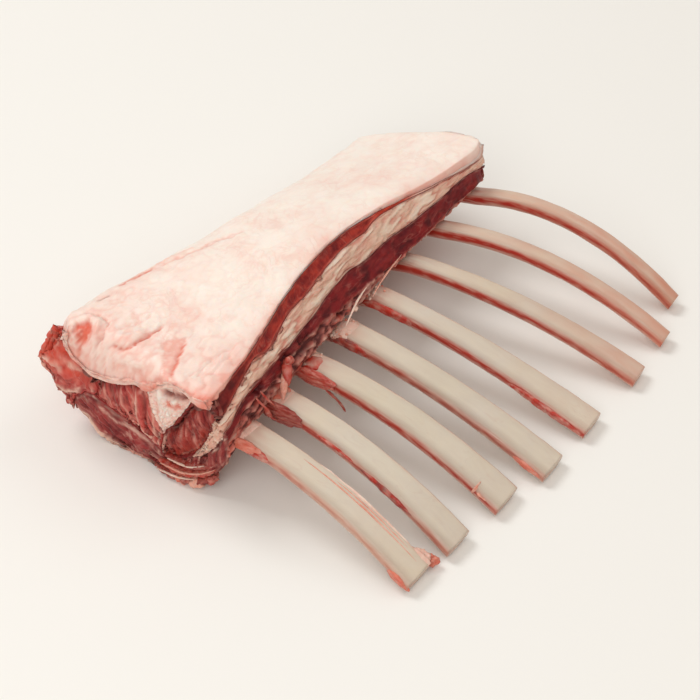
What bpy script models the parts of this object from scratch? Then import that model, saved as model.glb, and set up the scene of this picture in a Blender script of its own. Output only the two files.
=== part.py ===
"""Raw, frenched rack of lamb with eight long ribs, lying bone side down.

The meat is one long block, cut square at both ends.  Its cross section is split into
layers of muscle and fat that run through from end to end, and each layer is a closed
solid of its own.  Eight bare ribs run under the meat in channels, come out of its
side and arch down until their cut tips stand on the table.

Frame: X runs along the meat, Y from the rib tips to the spine side, Z up.  The origin
lies on the flat foot under the spine side, between the fourth and the fifth rib.
"""

import bmesh
import bpy
import numpy as np

MM = 0.001

# --- driving dimensions, in millimetres ---------------------------------------------

NEAR_END = -94.0
MIDDLE = 1.0
FAR_END = 99.0
TRIM_LENGTH = 18.0
TRIM_STATIONS = (0.35, 0.65, 1.0)
BODY_SPANS = 8
FOOT_HALF_WIDTH = 4.0
LAYER_GAP = 0.36
SMALLEST_CORNER = 0.1
CHANNEL_GAP = 0.3
END_ROUNDING = 1.2
END_SHRINK = 0.97

# How far each layer stops short of the near end and of the far end.
SETBACK = {
    "fat_cap": (0.0, 0.0),
    "cap_muscle": (2.5, 2.0),
    "seam_fat": (1.5, 1.5),
    "rib_muscle": (2.0, 2.2),
    "fat_flap": (1.0, 1.8),
    "middle_muscle": (2.0, 1.8),
    "eye_muscle": (1.5, 1.2),
    "edge_muscle": (1.0, 2.0),
}

# Height of the meat's top over Y, at the near end, the middle and the far end.
TOP = (
    ((-60, 40), (-54, 45), (-49, 48.5), (-29, 51), (-14, 52), (1, 53), (14, 53),
     (21, 50), (26, 44), (30, 38), (34, 30)),
    ((-60, 44), (-48, 49), (-42, 53), (-29, 53.5), (-14, 51.5), (-4, 49.2), (2, 46.5),
     (8, 42), (13, 36), (18, 27), (24, 15)),
    ((-60, 37), (-55, 42.5), (-50, 46), (-34, 44), (-23, 40.5), (-9, 36), (0, 32),
     (6, 28), (11, 22), (16, 14), (20, 8)),
)

# Height of the underside over Y: a hollow arch, filled by loose trim at the near end.
UNDERSIDE = (
    ((-60, 27), (-56, 20), (-50, 9), (-44, 3), (-36, 0), (4, 0), (10, 7), (16, 11.5),
     (26, 17), (32, 21)),
    ((-60, 27), (-54, 25), (-44, 20.5), (-29, 12.5), (-14, 5), (-7, 1), (-4, 0), (4, 0),
     (11, 6), (16, 11), (22, 16)),
    ((-60, 28), (-54, 26), (-44, 21), (-29, 12.5), (-16, 5.5), (-8, 1), (-4, 0),
     (4, 0), (8, 5), (11, 9.5), (16, 14)),
)

# Y of the rib face and of the spine face over the share of the height, 0 to 1.
RIB_FACE = (
    ((0, -56), (0.4, -56), (1, -49)),
    ((0, -50), (0.25, -54.5), (1, -40)),
    ((0, -52), (0.3, -56.5), (1, -52)),
)
SPINE_FACE = (
    ((0, 25), (0.55, 31), (1, 20)),
    ((0, 17), (0.5, 19), (1, 12)),
    ((0, 11), (0.5, 12.5), (1, 7)),
)

# Places in the cross section where layers meet, as (across, up) shares of the section.
# Across is 0 at the rib face and 1 at the spine face, up is 0 below and 1 on top.
# Each place has a value for the near end, the middle and the far end.
SPOTS = {
    "face_fat": ((0, 0.94), (0, 0.97), (0, 0.955)),
    "face_cap": ((0, 0.79), (0, 0.86), (0, 0.90)),
    "face_seam": ((0, 0.63), (0, 0.68), (0, 0.71)),
    "cap_flap_fat": ((0.13, 0.87), (0.13, 0.90), (0.12, 0.90)),
    "flap_middle_fat": ((0.39, 0.76), (0.33, 0.82), (0.30, 0.82)),
    "flap_tip": ((0.34, 0.38), (0.24, 0.66), (0.20, 0.70)),
    "cap_middle_eye": ((0.39, 0.17), (0.28, 0.42), (0.24, 0.50)),
    "cap_eye_rib": ((0.37, 0.07), (0.25, 0.34), (0.21, 0.42)),
    "seam_tip": ((0.19, 0.27), (0.16, 0.50), (0.14, 0.52)),
    "middle_eye_edge": ((0.72, 0.40), (0.72, 0.60), (0.74, 0.60)),
    "middle_edge_fat": ((0.74, 0.64), (0.80, 0.72), (0.80, 0.70)),
    "spine_fat": ((1, 0.86), (1, 0.62), (1, 0.55)),
    "under_rib_eye": ((0.40, 0), (0.26, 0), (0.24, 0)),
    "under_eye_edge": ((0.89, 0), (0.92, 0), (0.93, 0)),
    "rib_low": ((0, 0), (0, 0), (0, 0)),
    "rib_top": ((0, 1), (0, 1), (0, 1)),
    "spine_low": ((1, 0), (1, 0), (1, 0)),
    "spine_top": ((1, 1), (1, 1), (1, 1)),
}

# Seams between two layers: start, one bend on the way, end.
SEAMS = {
    "fat_over_cap": (
        "face_fat", ((0.07, 0.90), (0.06, 0.93), (0.06, 0.93)), "cap_flap_fat"),
    "fat_over_flap": (
        "cap_flap_fat", ((0.26, 0.88), (0.23, 0.86), (0.20, 0.85)), "flap_middle_fat"),
    "fat_over_middle": (
        "flap_middle_fat", ((0.62, 0.65), (0.56, 0.76), (0.55, 0.76)), "middle_edge_fat"),
    "fat_over_edge": (
        "middle_edge_fat", ((0.90, 0.77), (0.92, 0.68), (0.91, 0.63)), "spine_fat"),
    "cap_over_seam": (
        "face_cap", ((0.10, 0.48), (0.09, 0.66), (0.08, 0.69)), "seam_tip"),
    "seam_over_rib": (
        "face_seam", ((0.08, 0.38), (0.08, 0.56), (0.07, 0.57)), "seam_tip"),
    "cap_over_rib": (
        "seam_tip", ((0.28, 0.17), (0.20, 0.42), (0.17, 0.46)), "cap_eye_rib"),
    "cap_beside_eye": (
        "cap_eye_rib", ((0.38, 0.12), (0.265, 0.38), (0.225, 0.46)), "cap_middle_eye"),
    "cap_beside_middle": (
        "cap_middle_eye", ((0.37, 0.28), (0.27, 0.54), (0.22, 0.60)), "flap_tip"),
    "cap_beside_flap": (
        "flap_tip", ((0.24, 0.62), (0.19, 0.78), (0.16, 0.79)), "cap_flap_fat"),
    "middle_beside_flap": (
        "flap_tip", ((0.39, 0.56), (0.30, 0.74), (0.26, 0.76)), "flap_middle_fat"),
    "middle_over_eye": (
        "cap_middle_eye", ((0.55, 0.30), (0.50, 0.66), (0.48, 0.68)), "middle_eye_edge"),
    "middle_beside_edge": (
        "middle_eye_edge", ((0.69, 0.52), (0.76, 0.67), (0.77, 0.66)), "middle_edge_fat"),
    "eye_beside_edge": (
        "under_eye_edge", ((0.85, 0.16), (0.86, 0.36), (0.88, 0.38)), "middle_eye_edge"),
    "eye_beside_rib": (
        "under_rib_eye", ((0.385, 0.035), (0.24, 0.17), (0.21, 0.20)), "cap_eye_rib"),
}

# Each layer's outline, going round with the layer on the left.  A name is a seam, a
# leading minus runs it backwards, and a pair of spots is a stretch of the outside.
LAYERS = {
    "fat_cap": ("fat_over_cap", "fat_over_flap", "fat_over_middle", "fat_over_edge",
                ("spine_fat", "spine_top"), ("spine_top", "rib_top"), ("rib_top", "face_fat")),
    "cap_muscle": ("cap_over_seam", "cap_over_rib", "cap_beside_eye", "cap_beside_middle",
                   "cap_beside_flap", "-fat_over_cap", ("face_fat", "face_cap")),
    "seam_fat": ("seam_over_rib", "-cap_over_seam", ("face_cap", "face_seam")),
    "rib_muscle": (("rib_low", "under_rib_eye"), "eye_beside_rib", "-cap_over_rib",
                   "-seam_over_rib", ("face_seam", "rib_low")),
    "fat_flap": ("middle_beside_flap", "-fat_over_flap", "-cap_beside_flap"),
    "middle_muscle": ("middle_over_eye", "middle_beside_edge", "-fat_over_middle",
                      "-middle_beside_flap", "-cap_beside_middle"),
    "eye_muscle": (("under_rib_eye", "under_eye_edge"), "eye_beside_edge", "-middle_over_eye",
                   "-cap_beside_eye", "-eye_beside_rib"),
    "edge_muscle": (("under_eye_edge", "spine_low"), ("spine_low", "spine_fat"),
                    "-fat_over_edge", "-middle_beside_edge", "-eye_beside_edge"),
}
SEAM_STEPS = 4
OUTSIDE_STEP = 0.12

# The ribs, near to far: X where the rib leaves the meat, how far the tip leans along
# X, Y of the tip, rise of the arch over its chord, widths at the root and at the tip.
RIBS = (
    (-78.5, -9.9, -133.9, 5.5, 12.0, 13.5),
    (-57.4, -9.6, -137.7, 6.0, 11.5, 14.0),
    (-35.4, -4.2, -142.1, 6.0, 12.0, 15.5),
    (-12.4, -3.4, -148.4, 4.0, 12.0, 15.0),
    (11.6, 0.8, -150.2, 3.5, 10.5, 14.5),
    (36.6, 10.0, -153.1, 5.5, 9.0, 11.5),
    (62.6, 9.3, -152.3, 9.5, 8.5, 9.0),
    (89.5, 4.9, -145.2, 12.5, 8.0, 8.5),
)
RIB_EXIT_Y = -56.0
RIB_HEAD_Y = 9.5
# Height of a rib's centre line over Y, from where it leaves the meat to its head.
RIB_INSIDE = ((-56, 23.8), (-44, 20.8), (-29, 14.9), (-14, 7.8), (-4, 3.8), (10, 3.55))
RIB_HEAD_WIDTH = 8.5
RIB_THICKNESS_ROOT = 6.6
RIB_THICKNESS_TIP = 5.6
RIB_LIFT = 0.25
RIB_RINGS_INSIDE = 8
RIB_RINGS_OUTSIDE = 7
RIB_SIDES = 8
RIB_SQUARENESS = 0.62
CUTTER_EXTENSION = 1.5

# Which layers a rib passes through.
CHANNELLED = ("rib_muscle", "eye_muscle", "cap_muscle", "seam_fat", "middle_muscle",
              "edge_muscle")

FINISHES = {
    "fat": ((0.80, 0.62, 0.54, 1.0), 0.42),
    "lean": ((0.30, 0.035, 0.035, 1.0), 0.34),
    "bone": ((0.72, 0.62, 0.50, 1.0), 0.48),
}
LAYER_FINISH = {
    "fat_cap": "fat",
    "seam_fat": "fat",
    "fat_flap": "fat",
}


def smooth_curve(points):
    """Return a function that runs smoothly through (place, value) points, without overshoot."""
    places, values = np.array(points, float).T
    widths = np.diff(places)
    slopes = np.diff(values) / widths
    tangents = np.concatenate(([slopes[0]], np.zeros(len(slopes) - 1), [slopes[-1]]))
    before, after = slopes[:-1], slopes[1:]
    same_way = before * after > 0
    tangents[1:-1][same_way] = (2 * before * after / (before + after + 1e-12))[same_way]

    def curve(place):
        place = np.clip(np.asarray(place, float), places[0], places[-1])
        k = np.clip(np.searchsorted(places, place, side="right") - 1, 0, len(widths) - 1)
        s = (place - places[k]) / widths[k]
        rise = values[k] * (1 + 2 * s) * (1 - s) ** 2 + values[k + 1] * s * s * (3 - 2 * s)
        lean = tangents[k] * s * (1 - s) ** 2 + tangents[k + 1] * s * s * (s - 1)
        return rise + widths[k] * lean

    return curve


TOP_CURVES = [smooth_curve(points) for points in TOP]
UNDERSIDE_CURVES = [smooth_curve(points) for points in UNDERSIDE]
RIB_FACE_CURVES = [smooth_curve(points) for points in RIB_FACE]
SPINE_FACE_CURVES = [smooth_curve(points) for points in SPINE_FACE]


def along(near, middle, far, x):
    """Blend the values of the near end, the middle and the far end along an eased parabola."""
    u = np.clip((x - NEAR_END) / (FAR_END - NEAR_END), 0.0, 1.0)
    u = u * u * (3 - 2 * u)
    return near * (1 - u) * (1 - 2 * u) + middle * 4 * u * (1 - u) + far * u * (2 * u - 1)


def section_value(curves, x, place):
    """Value at one place of a section outline that changes along the meat."""
    near, middle, far = (curve(place) for curve in curves)
    return along(near, middle, far, x)


def underside_height(x, y):
    """Height of the underside: the arch, with loose trim down to the table at the near end."""
    near, middle, far = (curve(y) for curve in UNDERSIDE_CURVES)
    trim = np.clip((x - NEAR_END) / TRIM_LENGTH, 0.0, 1.0)
    trim = trim * trim * (3 - 2 * trim)
    outward = np.clip((x - MIDDLE) / (FAR_END - MIDDLE), 0.0, 1.0)
    arch = middle * (1 - outward) + far * outward
    return near * (1 - trim) + arch * trim


def face_positions(x, up):
    """Y of the rib face and of the spine face at a share of the height."""
    return section_value(RIB_FACE_CURVES, x, up), section_value(SPINE_FACE_CURVES, x, up)


def section_points(x, shares):
    """Turn (across, up) shares at one station into Y and Z."""
    across, up = shares.T
    rib_y, spine_y = face_positions(x, up)
    y = rib_y + (spine_y - rib_y) * across
    low = underside_height(x, y)
    high = section_value(TOP_CURVES, x, y)
    return np.stack([y, low + (high - low) * up], axis=1)


def spot_at(spot, x):
    """(across, up) of a named spot, or of a bare triple of places, at one station."""
    places = SPOTS[spot] if isinstance(spot, str) else spot
    near, middle, far = np.array(places, float)
    return along(near, middle, far, x)


def seam_points(name, x):
    """Points along one seam, without its last: a parabola through start, bend and end."""
    start, bend, end = (spot_at(spot, x) for spot in SEAMS[name])
    s = np.linspace(0.0, 1.0, SEAM_STEPS + 1)[:, None]
    return start * (1 - s) * (1 - 2 * s) + bend * 4 * s * (1 - s) + end * s * (2 * s - 1)


def foot_shares(x):
    """Shares across the section where the flat foot starts, has its middle and ends."""
    rib_y, spine_y = face_positions(x, 0.0)
    feet = np.array([-FOOT_HALF_WIDTH, 0.0, FOOT_HALF_WIDTH])
    return (feet - rib_y) / (spine_y - rib_y)


def outside_points(start_spot, end_spot, x):
    """Points along the outside between two spots, with the foot's edges under the eye muscle."""
    start, end = spot_at(start_spot, x), spot_at(end_spot, x)
    reference = np.linalg.norm(spot_at(end_spot, MIDDLE) - spot_at(start_spot, MIDDLE))
    steps = max(1, round(reference / OUTSIDE_STEP))
    if start_spot == "under_rib_eye":
        feet = foot_shares(x)
        lead = np.linspace(start[0], feet[0], steps - 1)
        across = np.concatenate([lead, feet[1:], [end[0]]])
        return np.stack([across, np.zeros_like(across)], axis=1)
    return start + (end - start) * np.linspace(0.0, 1.0, steps + 1)[:, None]


def layer_outline(name, x):
    """Outline of one layer at one station, in shares, and which of its edges are seams."""
    pieces, is_seam = [], []
    for edge in LAYERS[name]:
        if isinstance(edge, tuple):
            points = outside_points(*edge, x)
        elif edge.startswith("-"):
            points = seam_points(edge[1:], x)[::-1]
        else:
            points = seam_points(edge, x)
        pieces.append(points[:-1])
        is_seam += [not isinstance(edge, tuple)] * (len(points) - 1)
    return np.concatenate(pieces), np.array(is_seam)


def shrink_outline(points, is_seam):
    """Move the seams of an outline inwards by half the gap, and leave the outside in place."""
    edges = np.roll(points, -1, axis=0) - points
    edges /= np.linalg.norm(edges, axis=1, keepdims=True)
    inward = np.stack([-edges[:, 1], edges[:, 0]], axis=1)
    distance = np.where(is_seam, LAYER_GAP / 2, 0.0)
    inward_before, distance_before = np.roll(inward, 1, axis=0), np.roll(distance, 1)
    turn = inward_before[:, 0] * inward[:, 1] - inward_before[:, 1] * inward[:, 0]
    is_corner = np.abs(turn) > SMALLEST_CORNER
    divisor = np.where(is_corner, turn, 1.0)
    corner = np.stack([
        (distance_before * inward[:, 1] - distance * inward_before[:, 1]) / divisor,
        (distance * inward_before[:, 0] - distance_before * inward[:, 0]) / divisor,
    ], axis=1)
    straight = inward * np.maximum(distance, distance_before)[:, None]
    return points + np.where(is_corner[:, None], corner, straight)


def new_object(name, vertices, faces):
    """Make a closed mesh object, with millimetre points, outward faces and metre size."""
    mesh = bpy.data.meshes.new(name)
    mesh.from_pydata((np.array(vertices) * MM).tolist(), [], faces)
    shape = bmesh.new()
    shape.from_mesh(mesh)
    bmesh.ops.triangulate(shape, faces=shape.faces, quad_method="SHORT_EDGE", ngon_method="BEAUTY")
    bmesh.ops.recalc_face_normals(shape, faces=shape.faces)
    shape.to_mesh(mesh)
    shape.free()
    built = bpy.data.objects.new(name, mesh)
    bpy.context.scene.collection.objects.link(built)
    return built


def loft(name, rings):
    """Join rings of equal length into a closed solid with flat ends."""
    count = len(rings[0])
    faces = [list(range(count)), list(range((len(rings) - 1) * count, len(rings) * count))]
    for ring in range(len(rings) - 1):
        for k in range(count):
            following = (k + 1) % count
            low, high = ring * count, (ring + 1) * count
            faces.append([low + k, low + following, high + following, high + k])
    return new_object(name, np.concatenate(rings), faces)


def ring_at(x, station, name, shrink):
    """One ring of a layer: its outline at a station, placed at x, drawn in about its middle."""
    shares, is_seam = layer_outline(name, station)
    outline = section_points(station, shares)
    grounded = outline[:, 1] == 0.0
    points = shrink_outline(outline, is_seam)
    centre = points.mean(axis=0)
    points = centre + (points - centre) * shrink
    points[grounded, 1] = 0.0
    return np.column_stack([np.full(len(points), x), points])


def meat_layer(name):
    """Loft one layer of the meat along X, its ends a little rounded."""
    near = NEAR_END + SETBACK[name][0]
    far = FAR_END - SETBACK[name][1]
    inner = [NEAR_END + TRIM_LENGTH * share for share in TRIM_STATIONS]
    inner += list(np.linspace(inner[-1], FAR_END, BODY_SPANS + 1)[1:-1])
    rings = [ring_at(near, near, name, END_SHRINK)]
    rings.append(ring_at(near + END_ROUNDING, near + END_ROUNDING, name, 1.0))
    rings += [ring_at(x, x, name, 1.0) for x in inner]
    rings.append(ring_at(far - END_ROUNDING, far - END_ROUNDING, name, 1.0))
    rings.append(ring_at(far, far, name, END_SHRINK))
    return loft(name, rings)


def rib_path(rib):
    """Centre line, widths and thicknesses of one rib from its head to its tip."""
    exit_x, lean, tip_y, arch, root_width, tip_width = rib
    inside_y = np.linspace(RIB_HEAD_Y, RIB_EXIT_Y, RIB_RINGS_INSIDE)
    inside_z = smooth_curve(RIB_INSIDE)(inside_y)
    inside_width = np.linspace(RIB_HEAD_WIDTH, root_width, RIB_RINGS_INSIDE)
    u = np.linspace(0.0, 1.0, RIB_RINGS_OUTSIDE + 1)[1:]
    tip_z = RIB_LIFT + RIB_THICKNESS_TIP / 2
    outside_y = RIB_EXIT_Y + (tip_y - RIB_EXIT_Y) * u
    outside_z = inside_z[-1] + (tip_z - inside_z[-1]) * u + 4 * arch * u * (1 - u)
    thickness = RIB_THICKNESS_ROOT + (RIB_THICKNESS_TIP - RIB_THICKNESS_ROOT) * u
    outside_width = root_width + (tip_width - root_width) * u
    x = np.concatenate([np.full(RIB_RINGS_INSIDE, exit_x), exit_x + lean * u])
    y = np.concatenate([inside_y, outside_y])
    z = np.concatenate([inside_z, outside_z])
    widths = np.concatenate([inside_width, outside_width])
    thicknesses = np.concatenate([np.full(RIB_RINGS_INSIDE, RIB_THICKNESS_ROOT), thickness])
    return np.stack([x, y, z], axis=1), widths, thicknesses


def rib_solid(name, rib, growth):
    """One rib as a flattened bar along its path, grown on all sides for a cutter."""
    centres, widths, thicknesses = rib_path(rib)
    if growth:
        head_step = centres[0] - centres[1]
        centres[0] += head_step / np.linalg.norm(head_step) * CUTTER_EXTENSION
    tangents = np.gradient(centres, axis=0)
    tangents /= np.linalg.norm(tangents, axis=1, keepdims=True)
    across = np.cross(tangents, [0.0, 0.0, 1.0])
    across /= np.linalg.norm(across, axis=1, keepdims=True)
    upward = np.cross(across, tangents)
    angles = (np.arange(RIB_SIDES) + 0.5) * 2 * np.pi / RIB_SIDES
    wide = np.sign(np.cos(angles)) * np.abs(np.cos(angles)) ** RIB_SQUARENESS
    tall = np.sign(np.sin(angles)) * np.abs(np.sin(angles)) ** RIB_SQUARENESS
    wide, tall = wide / np.abs(wide).max(), tall / np.abs(tall).max()
    rings = []
    for centre, side, up, width, thick in zip(centres, across, upward, widths, thicknesses):
        sideways = np.outer(wide * (width / 2 + growth), side)
        upwards = np.outer(tall * (thick / 2 + growth), up)
        rings.append(centre + sideways + upwards)
    return loft(name, rings)


def cut_channels(layers):
    """Cut a channel for every rib into the layers that the ribs pass through."""
    for number, rib in enumerate(RIBS, start=1):
        cutter = rib_solid(f"rib_cutter_{number}", rib, CHANNEL_GAP)
        cutter.hide_render = True
        cutter.display_type = "WIRE"
        for name in CHANNELLED:
            modifier = layers[name].modifiers.new(f"rib_channel_{number}", "BOOLEAN")
            modifier.operation = "DIFFERENCE"
            modifier.solver = "EXACT"
            modifier.object = cutter


def finish_material(name):
    """One Principled material for fat, lean meat or bone."""
    colour, roughness = FINISHES[name]
    material = bpy.data.materials.new(name)
    material.use_nodes = True
    surface = material.node_tree.nodes["Principled BSDF"]
    surface.inputs["Base Color"].default_value = colour
    surface.inputs["Roughness"].default_value = roughness
    surface.inputs["Metallic"].default_value = 0.0
    return material


def main():
    """Build the layers and the ribs, and give each its material."""
    for old in list(bpy.data.objects):
        bpy.data.objects.remove(old, do_unlink=True)
    materials = {name: finish_material(name) for name in FINISHES}
    layers = {name: meat_layer(name) for name in LAYERS}
    for name, layer in layers.items():
        layer.data.materials.append(materials[LAYER_FINISH.get(name, "lean")])
    for number, rib in enumerate(RIBS, start=1):
        bone = rib_solid(f"rib_{number}", rib, 0.0)
        bone.data.materials.append(materials["bone"])
    cut_channels(layers)


main()
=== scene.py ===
"""Raw, frenched rack of lamb: the looks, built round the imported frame.

Every layer of muscle and fat is lofted along X from one shared cross section, so that
neighbours meet along the same seams.  Relief and tints are worked out as whole arrays
and kept on the meshes, and the finishes add fibres, mottling and marbling.  Lengths are
millimetres until a mesh is made, and X runs along the meat, Y from the rib tips to the
spine side, Z up.
"""

import itertools
import logging
import math
from collections.abc import Callable, Sequence
from dataclasses import dataclass, field
from enum import Enum
from typing import Any

import bpy
import numpy as np
from mathutils import Matrix, Vector

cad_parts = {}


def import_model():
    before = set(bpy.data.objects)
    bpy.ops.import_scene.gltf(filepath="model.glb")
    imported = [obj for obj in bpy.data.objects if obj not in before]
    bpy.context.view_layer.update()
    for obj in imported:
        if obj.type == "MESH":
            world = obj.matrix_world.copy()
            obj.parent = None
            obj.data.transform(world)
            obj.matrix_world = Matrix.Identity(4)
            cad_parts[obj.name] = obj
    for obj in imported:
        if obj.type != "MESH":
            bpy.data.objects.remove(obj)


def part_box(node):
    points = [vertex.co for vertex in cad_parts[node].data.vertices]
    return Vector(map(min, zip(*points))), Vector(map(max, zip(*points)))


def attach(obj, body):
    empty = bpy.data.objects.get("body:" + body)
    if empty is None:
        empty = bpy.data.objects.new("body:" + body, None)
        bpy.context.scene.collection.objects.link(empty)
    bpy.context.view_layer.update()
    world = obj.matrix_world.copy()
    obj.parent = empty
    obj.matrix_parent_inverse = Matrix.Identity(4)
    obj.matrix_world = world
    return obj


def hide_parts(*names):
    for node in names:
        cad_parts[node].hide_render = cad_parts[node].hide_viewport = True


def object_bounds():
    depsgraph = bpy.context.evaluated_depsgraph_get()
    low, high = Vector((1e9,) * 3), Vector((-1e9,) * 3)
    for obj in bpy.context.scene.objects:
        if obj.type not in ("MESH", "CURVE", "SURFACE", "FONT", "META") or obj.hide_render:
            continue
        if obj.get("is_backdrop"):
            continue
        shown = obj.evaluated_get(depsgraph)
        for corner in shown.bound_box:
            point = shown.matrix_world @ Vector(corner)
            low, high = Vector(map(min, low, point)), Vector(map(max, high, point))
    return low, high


LOG = logging.getLogger("rack_of_lamb")
MM = 0.001
ROOT_BODY = "root"

Array = np.ndarray
Colour = tuple[float, float, float]
Points = Sequence[Sequence[float]]


class Tint(Enum):
    """The tints a mesh carries at each vertex, from 0 to 1."""

    PALE = "pale"
    BLUSH = "blush"
    BLOOD = "blood"
    # Dark also carries painted shade: close under the fat's hem, in hollows and pits on the rib side, and on the
    # ribs' near sides.
    DARK = "dark"


class Slot(Enum):
    """The record's material slots."""

    FAT_CAP = "fat_cap"
    SEAM_FAT = "seam_fat"
    LEAN = "lean"
    DARK_LEAN = "dark_lean"
    BONE = "bone"


# --- numbers on whole arrays ----------------------------------------------------------

NOISE_TABLE = 4096
NOISE_PRIMES = np.array([73856093, 19349663, 83492791])
NOISE_GAIN = 1.6


def eased(share: Array) -> Array:
    """Smooth step from 0 to 1: three times the square less twice the cube."""
    share = np.clip(share, 0.0, 1.0)
    return share * share * (3 - 2 * share)


def bump(distance: Array, width: float) -> Array:
    """Bell of height 1: e to the minus square of the distance over the width."""
    return np.exp(-((distance / width) ** 2))


def smooth_curve(points: Points) -> Callable[[Array], Array]:
    """Make a smooth curve through (place, value) points that never overshoots them.

    Each span is a cubic whose end slopes are the harmonic means of the spans beside it.

    Args:
        points: (place, value) pairs in rising order of place.

    Returns:
        A function from places to values, held level beyond the two ends.
    """
    places, values = np.array(points, float).T
    widths = np.diff(places)
    slopes = np.diff(values) / widths
    tangents = np.concatenate(([slopes[0]], np.zeros(len(slopes) - 1), [slopes[-1]]))
    before, after = slopes[:-1], slopes[1:]
    same_way = before * after > 0
    tangents[1:-1][same_way] = (2 * before * after / (before + after + 1e-12))[same_way]

    def curve(place: Array) -> Array:
        """Value of the curve at each place."""
        place = np.clip(np.asarray(place, float), places[0], places[-1])
        k = np.clip(np.searchsorted(places, place, side="right") - 1, 0, len(widths) - 1)
        s = (place - places[k]) / widths[k]
        rise = values[k] * (1 + 2 * s) * (1 - s) ** 2 + values[k + 1] * s * s * (3 - 2 * s)
        lean = tangents[k] * s * (1 - s) ** 2 + tangents[k + 1] * s * s * (s - 1)
        return rise + widths[k] * lean

    return curve


def smooth_path(points: Points, count: int) -> Array:
    """Run a smooth line through points of any dimension, spaced by chord length.

    Args:
        points: The places that the line passes through.
        count: How many places to return.

    Returns:
        Array of count places.
    """
    places = np.array(points, float)
    chord = np.concatenate(([0.0], np.cumsum(np.linalg.norm(np.diff(places, axis=0), axis=1))))
    at = np.linspace(0.0, chord[-1], count)
    curves = [smooth_curve(np.column_stack([chord, column])) for column in places.T]
    return np.stack([curve(at) for curve in curves], axis=1)


def noise(points: Array, cell: float | Sequence[float], seed: int) -> Array:
    """Gradient noise from about -1 to 1.

    Every corner of a lattice holds a random slope; a place takes the eight slopes about
    it, each times the way from its corner, mixed by a quintic ease.

    Args:
        points: Places, one row each.
        cell: Size of the lattice's boxes, one number or one for each axis.
        seed: Seed of the random slopes.

    Returns:
        One value for each place.
    """
    grid = points / np.asarray(cell, float)
    low = np.floor(grid).astype(np.int64)
    part = grid - low
    ease = part**3 * (part * (part * 6 - 15) + 10)
    slopes = np.random.default_rng(seed).normal(size=(NOISE_TABLE, 3))
    slopes /= np.linalg.norm(slopes, axis=1, keepdims=True)
    total = np.zeros(len(points))
    for corner in itertools.product((0, 1), repeat=3):
        keys = (low + corner) * NOISE_PRIMES
        slope = slopes[(keys[:, 0] ^ keys[:, 1] ^ keys[:, 2]) % NOISE_TABLE]
        weight = np.where(np.array(corner, bool), ease, 1 - ease).prod(axis=1)
        total += weight * (slope * (part - corner)).sum(axis=1)
    return total * NOISE_GAIN


def layered_noise(points: Array, cell: float | Sequence[float], seed: int, layers: int = 3) -> Array:
    """Add noises, each half the size and half the height of the one before."""
    sizes = [np.asarray(cell, float) / 2**k for k in range(layers)]
    heights = [0.5**k for k in range(layers)]
    summed = sum(h * noise(points, c, seed + k) for k, (c, h) in enumerate(zip(sizes, heights)))
    return summed / sum(heights)


def path_distance(points: Array, path: Array) -> tuple[Array, Array]:
    """Measure how far places are from a line of straight steps.

    Args:
        points: Places, one row each.
        path: The line's own places, in order.

    Returns:
        Distance to the line, and the share along it of the nearest place.
    """
    best = np.full(len(points), np.inf)
    share = np.zeros(len(points))
    for k in range(len(path) - 1):
        step = path[k + 1] - path[k]
        along = np.clip(((points - path[k]) @ step) / (step @ step), 0.0, 1.0)
        away = np.linalg.norm(points - path[k] - along[:, None] * step, axis=1)
        nearer = away < best
        best = np.where(nearer, away, best)
        share = np.where(nearer, (k + along) / (len(path) - 1), share)
    return best, share


def inside_outline(points: Array, outline: Points, softness: float) -> Array:
    """Mask of a closed outline with soft edges: 1 inside, 0 outside.

    A ray to the right of a place crosses the outline an odd number of times when the
    place is inside; the distance to the outline then eases the step.

    Args:
        points: Places in the plane.
        outline: Corners of the outline, in order.
        softness: Width of the edge.

    Returns:
        Mask, one value for each place.
    """
    corners = np.array(outline, float)
    closed = np.concatenate([corners, corners[:1]])
    odd = np.zeros(len(points), bool)
    for (ax, ay), (bx, by) in zip(closed[:-1], closed[1:]):
        spans = (ay > points[:, 1]) != (by > points[:, 1])
        cross = ax + (points[:, 1] - ay) / (by - ay + 1e-12) * (bx - ax)
        odd ^= spans & (points[:, 0] < cross)
    away, _ = path_distance(points, closed)
    signed = np.where(odd, away, -away)
    return eased(signed / softness + 0.5)


# --- meshes ---------------------------------------------------------------------------


@dataclass
class Solid:
    """Closed mesh in the making: places in millimetres, faces, and tints by vertex."""

    places: Array
    faces: list[list[int]]
    tints: dict[Tint, Array] = field(default_factory=dict)

    def tint(self, kind: Tint) -> Array:
        """Tint of one kind at each vertex, 0 where it has none."""
        return self.tints.get(kind, np.zeros(len(self.places)))


def tube_faces(rings: int, sides: int) -> Array:
    """Four-sided faces that join rings of equal length, one ring after another."""
    ring, side = np.meshgrid(np.arange(rings - 1), np.arange(sides), indexing="ij")
    low, following = ring * sides, (side + 1) % sides
    quads = [low + side, low + following, low + sides + following, low + sides + side]
    return np.stack(quads, axis=-1).reshape(-1, 4)


def closed_tube(rings: Array) -> Solid:
    """Join rings into a closed solid, with a pole at the middle of each end.

    Args:
        rings: Array of (ring, side, axis).

    Returns:
        Solid whose faces point outwards.
    """
    count, sides, _ = rings.shape
    poles = [rings[0].mean(axis=0), rings[-1].mean(axis=0)]
    places = np.concatenate([rings.reshape(-1, 3), poles])
    start, end, last = count * sides, count * sides + 1, (count - 1) * sides
    side = np.arange(sides)
    following = (side + 1) % sides
    near = np.stack([np.full(sides, start), following, side], axis=1)
    far = np.stack([np.full(sides, end), last + side, last + following], axis=1)
    faces = tube_faces(count, sides).tolist() + near.tolist() + far.tolist()
    return outward(Solid(places, faces))


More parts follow.
